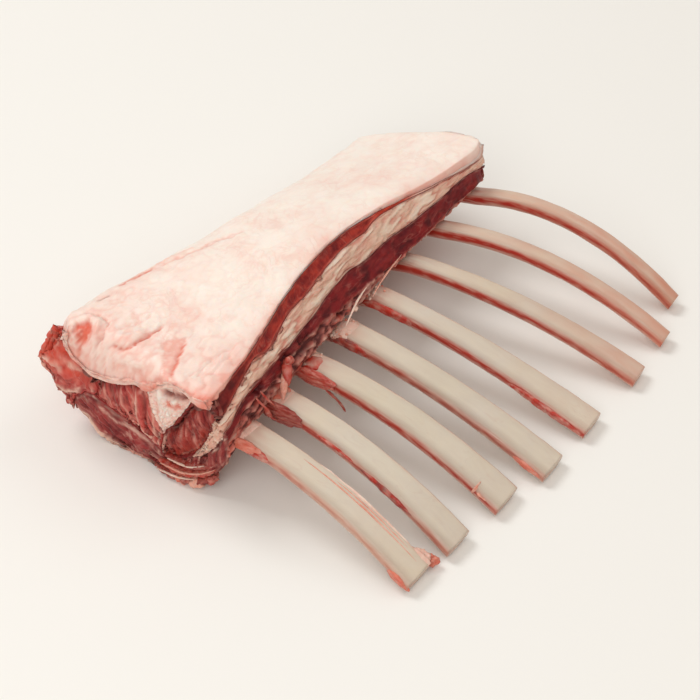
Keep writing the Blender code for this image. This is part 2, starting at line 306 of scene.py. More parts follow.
def outward(solid: Solid) -> Solid:
    """Turn all faces round if the solid's signed volume is negative.

    The volume is a sixth of the sum, over triangles, of each first corner dotted with
    the cross product of the other two.
    """
    fans = [(face[0], face[k], face[k + 1]) for face in solid.faces for k in range(1, len(face) - 1)]
    a, b, c = (solid.places[column] for column in np.array(fans).T)
    if (a * np.cross(b, c)).sum() < 0:
        solid.faces = [face[::-1] for face in solid.faces]
    return solid


def vertex_normals(solid: Solid) -> Array:
    """Normals of a solid's vertices, as Blender works them out for its mesh."""
    mesh = bpy.data.meshes.new("normals")
    mesh.from_pydata(solid.places.tolist(), [], solid.faces)
    normals = np.zeros(len(solid.places) * 3, np.float32)
    mesh.vertices.foreach_get("normal", normals)
    bpy.data.meshes.remove(mesh)
    return normals.reshape(-1, 3).astype(float)


def joined(solids: Sequence[Solid]) -> Solid:
    """Put several solids, each closed by itself, into one mesh."""
    starts = np.cumsum([0] + [len(solid.places) for solid in solids[:-1]])
    faces = [[k + int(start) for k in face] for start, solid in zip(starts, solids) for face in solid.faces]
    tints = {kind: np.concatenate([solid.tint(kind) for solid in solids]) for kind in Tint}
    return Solid(np.concatenate([solid.places for solid in solids]), faces, tints)


def make_piece(name: str, solid: Solid, material: bpy.types.Material, slot: Slot,
               stands_for: Sequence[str] = ()) -> bpy.types.Object:
    """Make a finished piece that rides on the root body.

    Args:
        name: Name of the piece.
        solid: Its shape and tints, in millimetres.
        material: Its finish.
        slot: The record's slot that the finish belongs to; not used.
        stands_for: CAD nodes that the piece replaces.

    Returns:
        The piece, at the origin, with its place in its mesh.
    """
    mesh = bpy.data.meshes.new(name)
    mesh.from_pydata((solid.places * MM).tolist(), [], solid.faces)
    mesh.shade_smooth()
    for kind in Tint:
        values = np.clip(solid.tint(kind), 0.0, 1.0).astype(np.float32)
        mesh.attributes.new(kind.value, "FLOAT", "POINT").data.foreach_set("value", values)
    mesh.materials.append(material)
    piece = bpy.data.objects.new(name, mesh)
    bpy.context.scene.collection.objects.link(piece)
    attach(piece, ROOT_BODY)
    if stands_for:
        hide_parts(*stands_for)
    triangles = sum(len(face) - 2 for face in solid.faces)
    LOG.info("%s: %d triangles, finish %s", name, triangles, material.name)
    return piece


# --- shader groups and finishes -------------------------------------------------------


def add_node(tree: bpy.types.NodeTree, kind: str, sockets: dict[Any, Any] | None = None,
             **settings: Any) -> bpy.types.Node:
    """Add a node, set its properties, and set or join its inputs.

    Args:
        tree: The tree that the node goes into.
        kind: The node's type, without its "ShaderNode".
        sockets: Input name or number to a value, or to the output socket that feeds it.
        settings: The node's own properties.

    Returns:
        The node.
    """
    node = tree.nodes.new("ShaderNode" + kind)
    for name, value in settings.items():
        setattr(node, name, value)
    for name, value in (sockets or {}).items():
        if isinstance(value, bpy.types.NodeSocket):
            tree.links.new(value, node.inputs[name])
        elif isinstance(value, tuple) and node.inputs[name].type == "RGBA":
            node.inputs[name].default_value = (*value, 1.0)
        else:
            node.inputs[name].default_value = value
    return node


def mix_colour(tree: bpy.types.NodeTree, share: Any, first: Any, second: Any,
               way: str = "MIX") -> bpy.types.NodeSocket:
    """Mix two colours by a share, and return the result's socket."""
    node = add_node(tree, "Mix", data_type="RGBA", blend_type=way)
    for number, value in ((0, share), (6, first), (7, second)):
        if isinstance(value, bpy.types.NodeSocket):
            tree.links.new(value, node.inputs[number])
        else:
            node.inputs[number].default_value = (*value, 1.0) if isinstance(value, tuple) else value
    return node.outputs[2]


def combine(tree: bpy.types.NodeTree, operation: str, first: Any, second: Any) -> bpy.types.NodeSocket:
    """Join two values by one sum, kept between 0 and 1, and return the result's socket."""
    node = add_node(tree, "Math", {0: first, 1: second}, operation=operation, use_clamp=True)
    return node.outputs[0]


def new_group(name: str, inputs: dict[str, str], outputs: dict[str, str]) -> tuple[Any, Any, Any]:
    """Start a shader group.

    Args:
        name: The group's name.
        inputs: Name of each input to its socket type, such as Float.
        outputs: Name of each output to its socket type.

    Returns:
        The tree, its input node and its output node.
    """
    tree = bpy.data.node_groups.new(name, "ShaderNodeTree")
    for in_out, sockets in (("INPUT", inputs), ("OUTPUT", outputs)):
        for socket, kind in sockets.items():
            tree.interface.new_socket(socket, in_out=in_out, socket_type="NodeSocket" + kind)
    return tree, tree.nodes.new("NodeGroupInput"), tree.nodes.new("NodeGroupOutput")


class SharedEffects:
    """Shader groups that several finishes use, each built once."""

    def __init__(self) -> None:
        """Build the groups."""
        self.tints = self._tint_group()
        self.fibres = self._fibre_group()
        self.mottling = self._mottling_group()
        self.marbling = self._marbling_group()

    @staticmethod
    def _tint_group() -> bpy.types.NodeTree:
        """Lay the mesh's own tints over a colour: blush, pale, blood and then dark."""
        names = {"Base": "Color", "Blush": "Color", "Pale": "Color", "Blood": "Color", "Dark": "Color"}
        tree, given, result = new_group("vertex_tints", names, {"Color": "Color"})
        colour = given.outputs["Base"]
        for kind in (Tint.BLUSH, Tint.PALE, Tint.BLOOD, Tint.DARK):
            mask = add_node(tree, "Attribute", attribute_name=kind.value)
            tint = given.outputs[kind.value.capitalize()]
            colour = mix_colour(tree, mask.outputs["Fac"], colour, tint)
        tree.links.new(colour, result.inputs["Color"])
        return tree

    @staticmethod
    def _fibre_group() -> bpy.types.NodeTree:
        """Fine fibres: noise drawn out along one way by unequal scales, in two sizes."""
        tree, given, result = new_group(
            "fibres", {"Stretch": "Vector", "Scale": "Float"}, {"Mask": "Float", "Height": "Float"})
        place = add_node(tree, "TexCoord").outputs["Object"]
        bend = add_node(tree, "TexNoise", {"Vector": place, "Scale": 90.0, "Detail": 1.0})
        moved = add_node(tree, "VectorMath", {0: bend.outputs["Color"], 1: (0.006, 0.006, 0.006)},
                         operation="MULTIPLY")
        place = add_node(tree, "VectorMath", {0: place, 1: moved.outputs[0]}, operation="ADD").outputs[0]
        drawn = add_node(tree, "VectorMath", {0: place, 1: given.outputs["Stretch"]}, operation="MULTIPLY")
        fine = add_node(tree, "TexNoise", {"Vector": drawn.outputs[0], "Scale": given.outputs["Scale"],
                                           "Detail": 5.0, "Roughness": 0.62})
        mask = add_node(tree, "MapRange", {"Value": fine.outputs["Fac"], "From Min": 0.36, "From Max": 0.66})
        tree.links.new(mask.outputs[0], result.inputs["Mask"])
        tree.links.new(fine.outputs["Fac"], result.inputs["Height"])
        return tree

    @staticmethod
    def _mottling_group() -> bpy.types.NodeTree:
        """Cloudy patches: noise pushed towards its two ends."""
        tree, given, result = new_group("mottling", {"Scale": "Float", "Contrast": "Float"}, {"Mask": "Float"})
        place = add_node(tree, "TexCoord").outputs["Object"]
        cloud = add_node(tree, "TexNoise", {"Vector": place, "Scale": given.outputs["Scale"],
                                            "Detail": 4.0, "Roughness": 0.55, "Distortion": 0.4})
        centred = add_node(tree, "Math", {0: cloud.outputs["Fac"], 1: -0.5}, operation="ADD")
        pushed = add_node(tree, "Math", {0: centred.outputs[0], 1: given.outputs["Contrast"], 2: 0.5},
                          operation="MULTIPLY_ADD", use_clamp=True)
        tree.links.new(pushed.outputs[0], result.inputs["Mask"])
        return tree

    @staticmethod
    def _marbling_group() -> bpy.types.NodeTree:
        """Thin wandering veins: where a drawn-out noise crosses its middle, in patches."""
        names = {"Stretch": "Vector", "Scale": "Float", "Thinness": "Float"}
        tree, given, result = new_group("marbling", names, {"Mask": "Float"})
        place = add_node(tree, "TexCoord").outputs["Object"]
        drawn = add_node(tree, "VectorMath", {0: place, 1: given.outputs["Stretch"]}, operation="MULTIPLY")
        vein = add_node(tree, "TexNoise", {"Vector": drawn.outputs[0], "Scale": given.outputs["Scale"],
                                           "Detail": 3.0, "Roughness": 0.5, "Distortion": 0.8})
        centred = add_node(tree, "Math", {0: vein.outputs["Fac"], 1: -0.5}, operation="ADD")
        away = add_node(tree, "Math", {0: centred.outputs[0]}, operation="ABSOLUTE")
        thin = add_node(tree, "Math", {0: away.outputs[0], 1: given.outputs["Thinness"]}, operation="MULTIPLY")
        line = add_node(tree, "Math", {0: 1.0, 1: thin.outputs[0]}, operation="SUBTRACT", use_clamp=True)
        patch = add_node(tree, "TexNoise", {"Vector": place, "Scale": 70.0, "Detail": 2.0})
        shown = add_node(tree, "MapRange", {"Value": patch.outputs["Fac"], "From Min": 0.42, "From Max": 0.6})
        tree.links.new(combine(tree, "MULTIPLY", line.outputs[0], shown.outputs[0]), result.inputs["Mask"])
        return tree


@dataclass(frozen=True)
class TissueFinish:
    """Finish of raw flesh, fat or bone: moist, a little see-through, fibrous and mottled."""

    name: str
    base: Colour
    cloud: Colour
    fibre: Colour
    vein: Colour
    blush: Colour
    pale: Colour
    blood: Colour
    dark: Colour
    cloud_scale: float = 60.0
    cloud_contrast: float = 2.2
    fibre_stretch: Colour = (1.0, 1.0, 1.0)
    fibre_scale: float = 500.0
    fibre_share: float = 0.3
    vein_stretch: Colour = (1.0, 1.0, 1.0)
    vein_scale: float = 120.0
    vein_thinness: float = 22.0
    vein_share: float = 0.3
    roughness: tuple[float, float] = (0.28, 0.5)
    coat: float = 0.08
    specular: float = 0.35
    scatter: float = 0.12
    scatter_radius: Colour = (1.0, 0.35, 0.2)
    scatter_scale: float = 0.0025
    bump_height: float = 0.0003

    def build(self, effects: SharedEffects) -> bpy.types.Material:
        """Make the material.

        Args:
            effects: The shared shader groups.

        Returns:
            The material, with its Principled BSDF's constant values on its own sockets.
        """
        material = bpy.data.materials.new(self.name)
        material.use_nodes = True
        tree = material.node_tree
        surface = tree.nodes["Principled BSDF"]
        mottling = add_node(tree, "Group", node_tree=effects.mottling)
        mottling.inputs["Scale"].default_value = self.cloud_scale
        mottling.inputs["Contrast"].default_value = self.cloud_contrast
        fibres = add_node(tree, "Group", node_tree=effects.fibres)
        fibres.inputs["Stretch"].default_value = self.fibre_stretch
        fibres.inputs["Scale"].default_value = self.fibre_scale
        marbling = add_node(tree, "Group", node_tree=effects.marbling)
        marbling.inputs["Stretch"].default_value = self.vein_stretch
        marbling.inputs["Scale"].default_value = self.vein_scale
        marbling.inputs["Thinness"].default_value = self.vein_thinness
        colour = mix_colour(tree, mottling.outputs["Mask"], self.base, self.cloud)
        strands = combine(tree, "MULTIPLY", fibres.outputs["Mask"], self.fibre_share)
        colour = mix_colour(tree, strands, colour, self.fibre)
        veins = combine(tree, "MULTIPLY", marbling.outputs["Mask"], self.vein_share)
        colour = mix_colour(tree, veins, colour, self.vein)
        tints = add_node(tree, "Group", {}, node_tree=effects.tints)
        tree.links.new(colour, tints.inputs["Base"])
        for name, value in (("Blush", self.blush), ("Pale", self.pale),
                            ("Blood", self.blood), ("Dark", self.dark)):
            tints.inputs[name].default_value = (*value, 1.0)
        tree.links.new(tints.outputs["Color"], surface.inputs["Base Color"])
        rough = add_node(tree, "MapRange", {"Value": mottling.outputs["Mask"],
                                            "To Min": self.roughness[0], "To Max": self.roughness[1]})
        tree.links.new(rough.outputs[0], surface.inputs["Roughness"])
        heights = combine(tree, "ADD", fibres.outputs["Height"], veins)
        relief = add_node(tree, "Bump", {"Height": heights, "Distance": self.bump_height, "Strength": 0.7})
        tree.links.new(relief.outputs[0], surface.inputs["Normal"])
        surface.inputs["Coat Weight"].default_value = self.coat
        surface.inputs["Coat Roughness"].default_value = 0.22
        surface.inputs["Subsurface Weight"].default_value = self.scatter
        surface.inputs["Subsurface Radius"].default_value = self.scatter_radius
        surface.inputs["Subsurface Scale"].default_value = self.scatter_scale
        surface.inputs["IOR"].default_value = 1.4
        surface.inputs["Specular IOR Level"].default_value = self.specular
        return material


RED_MEAT = dict(
    blush=(0.66, 0.22, 0.17), pale=(0.84, 0.56, 0.44), blood=(0.66, 0.065, 0.032), dark=(0.045, 0.004, 0.006),
)
FAT_FINISH = TissueFinish(
    "fat", base=(0.90, 0.80, 0.71), cloud=(0.88, 0.73, 0.64), fibre=(0.93, 0.85, 0.77),
    vein=(0.82, 0.52, 0.43), blush=(0.82, 0.40, 0.32), pale=(0.93, 0.86, 0.77), blood=(0.70, 0.11, 0.055),
    dark=(0.16, 0.03, 0.02), cloud_scale=75.0, fibre_scale=320.0, fibre_share=0.4,
    vein_scale=150.0, vein_thinness=16.0, vein_share=0.32, roughness=(0.34, 0.52), coat=0.1,
    scatter=0.35, scatter_radius=(1.0, 0.55, 0.4), scatter_scale=0.002,
)
SEAM_FINISH = TissueFinish(
    "seam_fat", base=(0.74, 0.51, 0.36), cloud=(0.64, 0.37, 0.26), fibre=(0.84, 0.67, 0.52),
    vein=(0.62, 0.28, 0.20), blush=(0.72, 0.30, 0.24), pale=(0.90, 0.80, 0.68), blood=(0.55, 0.07, 0.04),
    dark=(0.10, 0.015, 0.012), cloud_scale=120.0, fibre_stretch=(0.22, 1.0, 1.0), fibre_scale=700.0,
    fibre_share=0.75, vein_stretch=(0.2, 1.0, 1.0), vein_scale=420.0, vein_thinness=14.0, vein_share=0.5,
    roughness=(0.34, 0.5), scatter=0.25, scatter_radius=(1.0, 0.5, 0.35), scatter_scale=0.0015,
)
LEAN_FINISH = TissueFinish(
    "lean", base=(0.30, 0.016, 0.013), cloud=(0.14, 0.006, 0.010), fibre=(0.46, 0.055, 0.036),
    vein=(0.62, 0.25, 0.19), fibre_stretch=(1.0, 1.0, 0.16), fibre_scale=650.0, fibre_share=0.6,
    vein_stretch=(1.0, 1.0, 0.3), vein_scale=200.0, vein_thinness=30.0, vein_share=0.25,
    roughness=(0.32, 0.55), specular=0.22, coat=0.04, scatter=0.1, **RED_MEAT,
)
STRIP_FINISH = TissueFinish(
    "lean_strip", base=(0.22, 0.010, 0.012), cloud=(0.10, 0.005, 0.010), fibre=(0.34, 0.035, 0.028),
    vein=(0.55, 0.20, 0.15), fibre_stretch=(0.3, 1.0, 1.0), fibre_scale=600.0, fibre_share=0.5,
    vein_stretch=(0.35, 1.0, 1.0), vein_scale=230.0, vein_thinness=30.0, vein_share=0.25,
    roughness=(0.32, 0.55), specular=0.22, coat=0.04, scatter=0.1, **RED_MEAT,
)
STRIPED_FINISH = TissueFinish(
    "striped_lean", base=(0.54, 0.060, 0.050), cloud=(0.34, 0.022, 0.024), fibre=(0.70, 0.16, 0.12),
    vein=(0.78, 0.36, 0.29), fibre_stretch=(1.0, 1.0, 0.2), fibre_scale=520.0, fibre_share=0.55,
    vein_stretch=(1.0, 1.0, 0.3), vein_scale=170.0, vein_thinness=20.0, vein_share=0.4,
    roughness=(0.32, 0.55), specular=0.22, coat=0.04, scatter=0.1, **RED_MEAT,
)
DARK_FINISH = TissueFinish(
    "dark_lean", base=(0.15, 0.008, 0.012), cloud=(0.38, 0.05, 0.046), fibre=(0.36, 0.05, 0.042),
    vein=(0.60, 0.27, 0.22), fibre_stretch=(1.0, 0.5, 1.0), fibre_scale=500.0, fibre_share=0.4,
    vein_stretch=(1.0, 0.5, 1.0), vein_scale=150.0, vein_thinness=18.0, vein_share=0.55,
    roughness=(0.32, 0.55), specular=0.22, coat=0.04, scatter=0.08, **RED_MEAT,
)
BONE_FINISH = TissueFinish(
    "bone", base=(0.64, 0.56, 0.43), cloud=(0.63, 0.56, 0.47), fibre=(0.70, 0.63, 0.50),
    vein=(0.56, 0.40, 0.32), blush=(0.68, 0.28, 0.18), pale=(0.82, 0.74, 0.66), blood=(0.44, 0.022, 0.012),
    dark=(0.17, 0.065, 0.04), cloud_scale=35.0, fibre_stretch=(1.0, 0.06, 1.0), fibre_scale=420.0,
    fibre_share=0.35, vein_stretch=(1.0, 0.08, 1.0), vein_scale=180.0, vein_thinness=40.0,
    vein_share=0.22, roughness=(0.3, 0.42), coat=0.12, scatter=0.15, scatter_radius=(1.0, 0.7, 0.5),
    scatter_scale=0.0015, bump_height=0.00012,
)
SINEW_FINISH = TissueFinish(
    "sinew", base=(0.74, 0.46, 0.36), cloud=(0.64, 0.28, 0.20), fibre=(0.84, 0.64, 0.53),
    vein=(0.50, 0.09, 0.06), blush=(0.72, 0.25, 0.16), pale=(0.84, 0.72, 0.60), blood=(0.56, 0.035, 0.016),
    dark=(0.07, 0.01, 0.01), cloud_scale=160.0, fibre_scale=900.0, fibre_share=0.5,
    vein_scale=300.0, vein_thinness=16.0, vein_share=0.5, roughness=(0.22, 0.42), coat=0.3, scatter=0.2,
    scatter_radius=(1.0, 0.4, 0.3), scatter_scale=0.0012,
)


# --- the meat's cross section ---------------------------------------------------------


class MeatSection:
    """The meat's cross section at any place along it, split into layers by seams.

    Places in the section are (across, up) shares: across is 0 at the rib face and 1 at
    the spine face, up is 0 below and 1 on top.
    """

    TRIM_LENGTH = 18.0
    # Length and depth of the rounded far corner.
    CORNER = (9.0, 5.0)
    TOP = (
        ((-60, 40), (-54, 45), (-49, 48.5), (-29, 51), (-14, 52), (1, 53), (14, 53),
         (21, 50), (26, 44), (30, 38), (34, 30)),
        ((-60, 44), (-48, 49), (-42, 53), (-29, 53.5), (-14, 51.5), (-4, 49.2), (2, 46.5),
         (8, 42), (13, 36), (18, 27), (24, 15)),
        ((-60, 37), (-55, 42.5), (-50, 46), (-34, 44), (-23, 40.5), (-9, 36), (0, 32),
         (6, 28), (11, 22), (16, 14), (20, 8)),
    )
    UNDERSIDE = (
        ((-60, 27), (-56, 20), (-50, 9), (-44, 3), (-36, 0), (4, 0), (10, 7), (16, 11.5),
         (26, 17), (32, 21)),
        ((-60, 27), (-54, 25), (-44, 20.5), (-29, 12.5), (-14, 5), (-7, 1), (-4, 0), (4, 0),
         (11, 6), (16, 11), (22, 16)),
        ((-60, 28), (-54, 26), (-44, 21), (-29, 12.5), (-16, 5.5), (-8, 1), (-4, 0),
         (4, 0), (8, 5), (11, 9.5), (16, 14)),
    )
    RIB_FACE = (
        ((0, -56), (0.4, -56), (1, -49)),
        ((0, -50), (0.25, -54.5), (1, -40)),
        ((0, -52), (0.3, -56.5), (1, -52)),
    )
    SPINE_FACE = (
        ((0, 25), (0.55, 31), (1, 20)),
        ((0, 17), (0.5, 19), (1, 12)),
        ((0, 11), (0.5, 12.5), (1, 7)),
    )
    # Heights of the three seams on the rib face, as (X, up).
    FACE_SEAMS = {
        "face_fat": ((-97, 0.93), (-80, 0.955), (-60, 0.96), (-40, 0.975), (-12, 0.985), (8, 0.985),
                     (26, 0.955), (45, 0.95), (62, 0.90), (80, 0.84), (97, 0.80)),
        "face_cap": ((-96, 0.79), (-88, 0.77), (-75, 0.83), (-64, 0.885), (-55, 0.81), (-36, 0.86),
                     (-24, 0.83), (-6, 0.85), (8, 0.865), (18, 0.86), (25, 0.90), (34, 0.925),
                     (46, 0.925), (62, 0.88), (80, 0.82), (97, 0.78)),
        "face_seam": ((-88, 0.63), (-75, 0.69), (-54, 0.67), (-43, 0.65), (-29, 0.65), (-14, 0.68),
                      (0, 0.70), (11, 0.66), (27, 0.67), (47, 0.65), (62, 0.67), (82, 0.72),
                      (93, 0.62)),
    }
    SPOTS = {
        "cap_flap_fat": ((0.13, 0.87), (0.13, 0.90), (0.12, 0.90)),
        "flap_middle_fat": ((0.39, 0.76), (0.33, 0.82), (0.30, 0.82)),
        "flap_tip": ((0.34, 0.38), (0.24, 0.66), (0.20, 0.70)),
        "cap_middle_eye": ((0.39, 0.17), (0.28, 0.42), (0.24, 0.50)),
        "cap_eye_rib": ((0.37, 0.07), (0.25, 0.34), (0.21, 0.42)),
        "seam_tip": ((0.19, 0.27), (0.16, 0.50), (0.14, 0.52)),
        "middle_eye_edge": ((0.72, 0.40), (0.72, 0.60), (0.74, 0.60)),
        "middle_edge_fat": ((0.74, 0.64), (0.80, 0.72), (0.80, 0.70)),
        "spine_fat": ((1, 0.86), (1, 0.62), (1, 0.55)),
        "under_rib_eye": ((0.40, 0), (0.26, 0), (0.24, 0)),
        "under_eye_edge": ((0.89, 0), (0.92, 0), (0.93, 0)),
        "rib_low": ((0, 0), (0, 0), (0, 0)),
        "rib_top": ((0, 1), (0, 1), (0, 1)),
        "spine_low": ((1, 0), (1, 0), (1, 0)),
        "spine_top": ((1, 1), (1, 1), (1, 1)),
    }
    # Each seam's start, its one bend for the near end, the middle and the far end, its end.
    SEAMS = {
        "fat_over_cap": (
            "face_fat", ((0.07, 0.90), (0.06, 0.93), (0.06, 0.93)), "cap_flap_fat"),
        "fat_over_flap": (
            "cap_flap_fat", ((0.26, 0.88), (0.23, 0.86), (0.20, 0.85)), "flap_middle_fat"),
        "fat_over_middle": (
            "flap_middle_fat", ((0.62, 0.65), (0.56, 0.76), (0.55, 0.76)), "middle_edge_fat"),
        "fat_over_edge": (
            "middle_edge_fat", ((0.90, 0.77), (0.92, 0.68), (0.91, 0.63)), "spine_fat"),
        "cap_over_seam": (
            "face_cap", ((0.10, 0.48), (0.09, 0.66), (0.08, 0.69)), "seam_tip"),
        "seam_over_rib": (
            "face_seam", ((0.08, 0.38), (0.08, 0.56), (0.07, 0.57)), "seam_tip"),
        "cap_over_rib": (
            "seam_tip", ((0.28, 0.17), (0.20, 0.42), (0.17, 0.46)), "cap_eye_rib"),
        "cap_beside_eye": (
            "cap_eye_rib", ((0.38, 0.12), (0.265, 0.38), (0.225, 0.46)), "cap_middle_eye"),
        "cap_beside_middle": (
            "cap_middle_eye", ((0.37, 0.28), (0.27, 0.54), (0.22, 0.60)), "flap_tip"),
        "cap_beside_flap": (
            "flap_tip", ((0.24, 0.62), (0.19, 0.78), (0.16, 0.79)), "cap_flap_fat"),
        "middle_beside_flap": (
            "flap_tip", ((0.39, 0.56), (0.30, 0.74), (0.26, 0.76)), "flap_middle_fat"),
        "middle_over_eye": (
            "cap_middle_eye", ((0.55, 0.30), (0.50, 0.66), (0.48, 0.68)), "middle_eye_edge"),
        "middle_beside_edge": (
            "middle_eye_edge", ((0.69, 0.52), (0.76, 0.67), (0.77, 0.66)), "middle_edge_fat"),
        "eye_beside_edge": (
            "under_eye_edge", ((0.85, 0.16), (0.86, 0.36), (0.88, 0.38)), "middle_eye_edge"),
        "eye_beside_rib": (
            "under_rib_eye", ((0.385, 0.035), (0.24, 0.17), (0.21, 0.20)), "cap_eye_rib"),
    }

    # Seams wander by up to this share; the cell is (mm along, shares of the seam).
    WANDER = 0.016
    WANDER_CELL = (11.0, 0.16)

    def __init__(self, near_end: float, far_end: float) -> None:
        """Set the two ends of the meat, in millimetres.

        Args:
            near_end: X of the near end.
            far_end: X of the far end.
        """
        self.near_end = near_end
        self.far_end = far_end
        self.middle = (near_end + far_end) / 2 - 1.5
        self.top_curves = [smooth_curve(points) for points in self.TOP]
        self.underside_curves = [smooth_curve(points) for points in self.UNDERSIDE]
        self.rib_curves = [smooth_curve(points) for points in self.RIB_FACE]
        self.spine_curves = [smooth_curve(points) for points in self.SPINE_FACE]
        self.face_curves = {name: smooth_curve(points) for name, points in self.FACE_SEAMS.items()}

    def along(self, near: Array, middle: Array, far: Array, x: Array) -> Array:
        """Blend near, middle and far values by a parabola over an eased share of the length."""
        u = eased((x - self.near_end) / (self.far_end - self.near_end))
        return near * (1 - u) * (1 - 2 * u) + middle * 4 * u * (1 - u) + far * u * (2 * u - 1)

    def top(self, x: Array, y: Array) -> Array:
        """Height of the meat's top."""
        return self.along(*(curve(y) for curve in self.top_curves), x)

    def underside(self, x: Array, y: Array) -> Array:
        """Height of the underside: an arch, with loose trim down to the table at the near end."""
        near, middle, far = (curve(y) for curve in self.underside_curves)
        trim = eased((x - self.near_end) / self.TRIM_LENGTH)
        outward_share = np.clip((x - self.middle) / (self.far_end - self.middle), 0.0, 1.0)
        arch = middle * (1 - outward_share) + far * outward_share
        return near * (1 - trim) + arch * trim

    def place(self, x: Array, shares: Array) -> Array:
        """Turn shares into places.

        Y runs in a straight line from the rib face to the spine face at that share of
        the height, and Z from the underside to the top above that Y.  The far corner on
        the rib side is drawn in along a quarter ellipse.

        Args:
            x: Stations, of any shape that fits the shares.
            shares: (across, up) pairs on the last axis.

        Returns:
            (Y, Z) pairs on the last axis.
        """
        across, up = shares[..., 0], shares[..., 1]
        rib_y = self.along(*(curve(up) for curve in self.rib_curves), x)
        spine_y = self.along(*(curve(up) for curve in self.spine_curves), x)
        y = rib_y + (spine_y - rib_y) * across
        at_corner = np.clip(1 - (self.far_end - x) / self.CORNER[0], 0.0, 1.0)
        y = y + self.CORNER[1] * (1 - np.sqrt(1 - at_corner ** 2)) * np.clip(1 - across, 0.0, 1.0) ** 4
        low, high = self.underside(x, y), self.top(x, y)
        return np.stack([y, low + (high - low) * up], axis=-1)

    def spot(self, spot: str | Points, x: Array) -> Array:
        """Shares of a named spot, or of a near, middle and far triple, at each station."""
        if isinstance(spot, str) and spot in self.face_curves:
            return np.stack([np.zeros_like(x), self.face_curves[spot](x)], axis=-1)
        places = self.SPOTS[spot] if isinstance(spot, str) else spot
        near, middle, far = np.array(places, float)
        return self.along(near, middle, far, x[:, None])

    def stretch(self, stretch: "Stretch", x: Array, count: int) -> Array:
        """Shares along one stretch of a layer's outline.

        A seam is the parabola through its start, bend and end, plus noise that fades out
        at both ends; an outside stretch is straight in shares.

        Args:
            stretch: The stretch.
            x: Stations.
            count: Number of steps.

        Returns:
            Array of (station, place, share), both ends included.
        """
        s = np.linspace(stretch.first, stretch.last, count + 1)[None, :, None]
        if stretch.outside:
            start, end = (self.spot(name, x)[:, None, :] for name in stretch.name.split("|"))
            return start + (end - start) * s
        s = 1 - s if stretch.name.startswith("-") else s
        spots = self.SEAMS[stretch.name.lstrip("-")]
        start, bend, end = (self.spot(spot, x)[:, None, :] for spot in spots)
        plain = start * (1 - s) * (1 - 2 * s) + bend * 4 * s * (1 - s) + end * s * (2 * s - 1)
        number = list(self.SEAMS).index(stretch.name.lstrip("-"))
        stations, along = np.broadcast_arrays(x[:, None, None] / self.WANDER_CELL[0], s / self.WANDER_CELL[1])
        key = np.stack([stations, along, np.full_like(along, 10.0 * number)], axis=-1).reshape(-1, 3)
        shake = np.stack([layered_noise(key, 1.0, 900 + k, 2) for k in (0, 5)], axis=1)
        return plain + self.WANDER * np.sqrt(4 * s * (1 - s)) * shake.reshape(plain.shape)


@dataclass(frozen=True)
class Stretch:
    """Part of a layer's outline: a seam, backwards with a minus, or "start|end" outside."""

    name: str
    first: float = 0.0
    last: float = 1.0

    @property
    def outside(self) -> bool:
        """Whether the stretch lies on the meat's outside."""
        return "|" in self.name


def stretches(*names: str) -> tuple[Stretch, ...]:
    """Whole stretches, by name."""
    return tuple(Stretch(name) for name in names)


class Side(Enum):
    """Flat views that marks are laid out on, with the two axes that each one reads."""

    NEAR_CUT = (1, 2)
    FAR_CUT = (1, 2, 0)
    TOP = (0, 1)
    RIB_SIDE = (0, 2)


@dataclass
class Skin:
    """All vertices of one layer before its relief."""

    section: MeatSection
    places: Array
    normals: Array
    shares: Array
    outside: Array
    seam_gap: Array
    near_cut: Array
    far_cut: Array
    rim: Array

    @property
    def x(self) -> Array:
        """X of each vertex."""
        return self.places[:, 0]

    def flat(self, side: Side) -> tuple[Array, Array]:
        """Two coordinates of each vertex on a side's plane, and the share that faces it."""
        axes = list(side.value[:2])
        facing = {
            Side.NEAR_CUT: self.near_cut,
            Side.FAR_CUT: self.far_cut,
            Side.TOP: eased((self.normals[:, 2] + 0.1) / 0.4) * self.outside,
            Side.RIB_SIDE: eased((-self.normals[:, 1] + 0.1) / 0.4) * self.outside,
        }[side]
        return self.places[:, axes], facing


@dataclass(frozen=True)
class Mark:
    """A line or a patch on one side of a layer, raised or cut in, with its own tints.

    A line's strength falls off as a bell about its path and tapers at both ends; a
    patch is the inside of its outline.  Noise makes both ragged and uneven.
    """

    side: Side
    points: Points
    tints: tuple[tuple[Tint, float], ...] = ()
    height: float = 0.0
    width: float = 1.0
    closed: bool = False
    ragged: float = 0.5
    seed: int = 1
    in_shares: bool = False
    taper: float = 0.15

    def strength(self, skin: Skin) -> Array:
        """Strength of the mark at each vertex, 0 to 1.

        Args:
            skin: The layer's vertices.

        Returns:
            One value for each vertex.
        """
        flat, facing = skin.flat(self.side)
        wobble = np.stack([layered_noise(skin.places, 3.2, self.seed + k) for k in (0, 50)], axis=1)
        flat = flat + 1.6 * wobble * self.ragged
        facing = facing * np.clip(0.95 + 0.9 * self.ragged * layered_noise(skin.places, 1.8, self.seed + 90, 2), 0, 1)
        points = np.array(self.points, float)
        if self.in_shares:
            points = skin.section.place(np.full(len(points), skin.section.near_end), points)
        if self.closed:
            return inside_outline(flat, points, self.width) * facing
        path = smooth_path(points, 12)
        away, share = path_distance(flat, path)
        ends = eased(np.minimum(share, 1 - share) / self.taper) if self.taper else 1.0
        return bump(away, self.width) * ends * facing


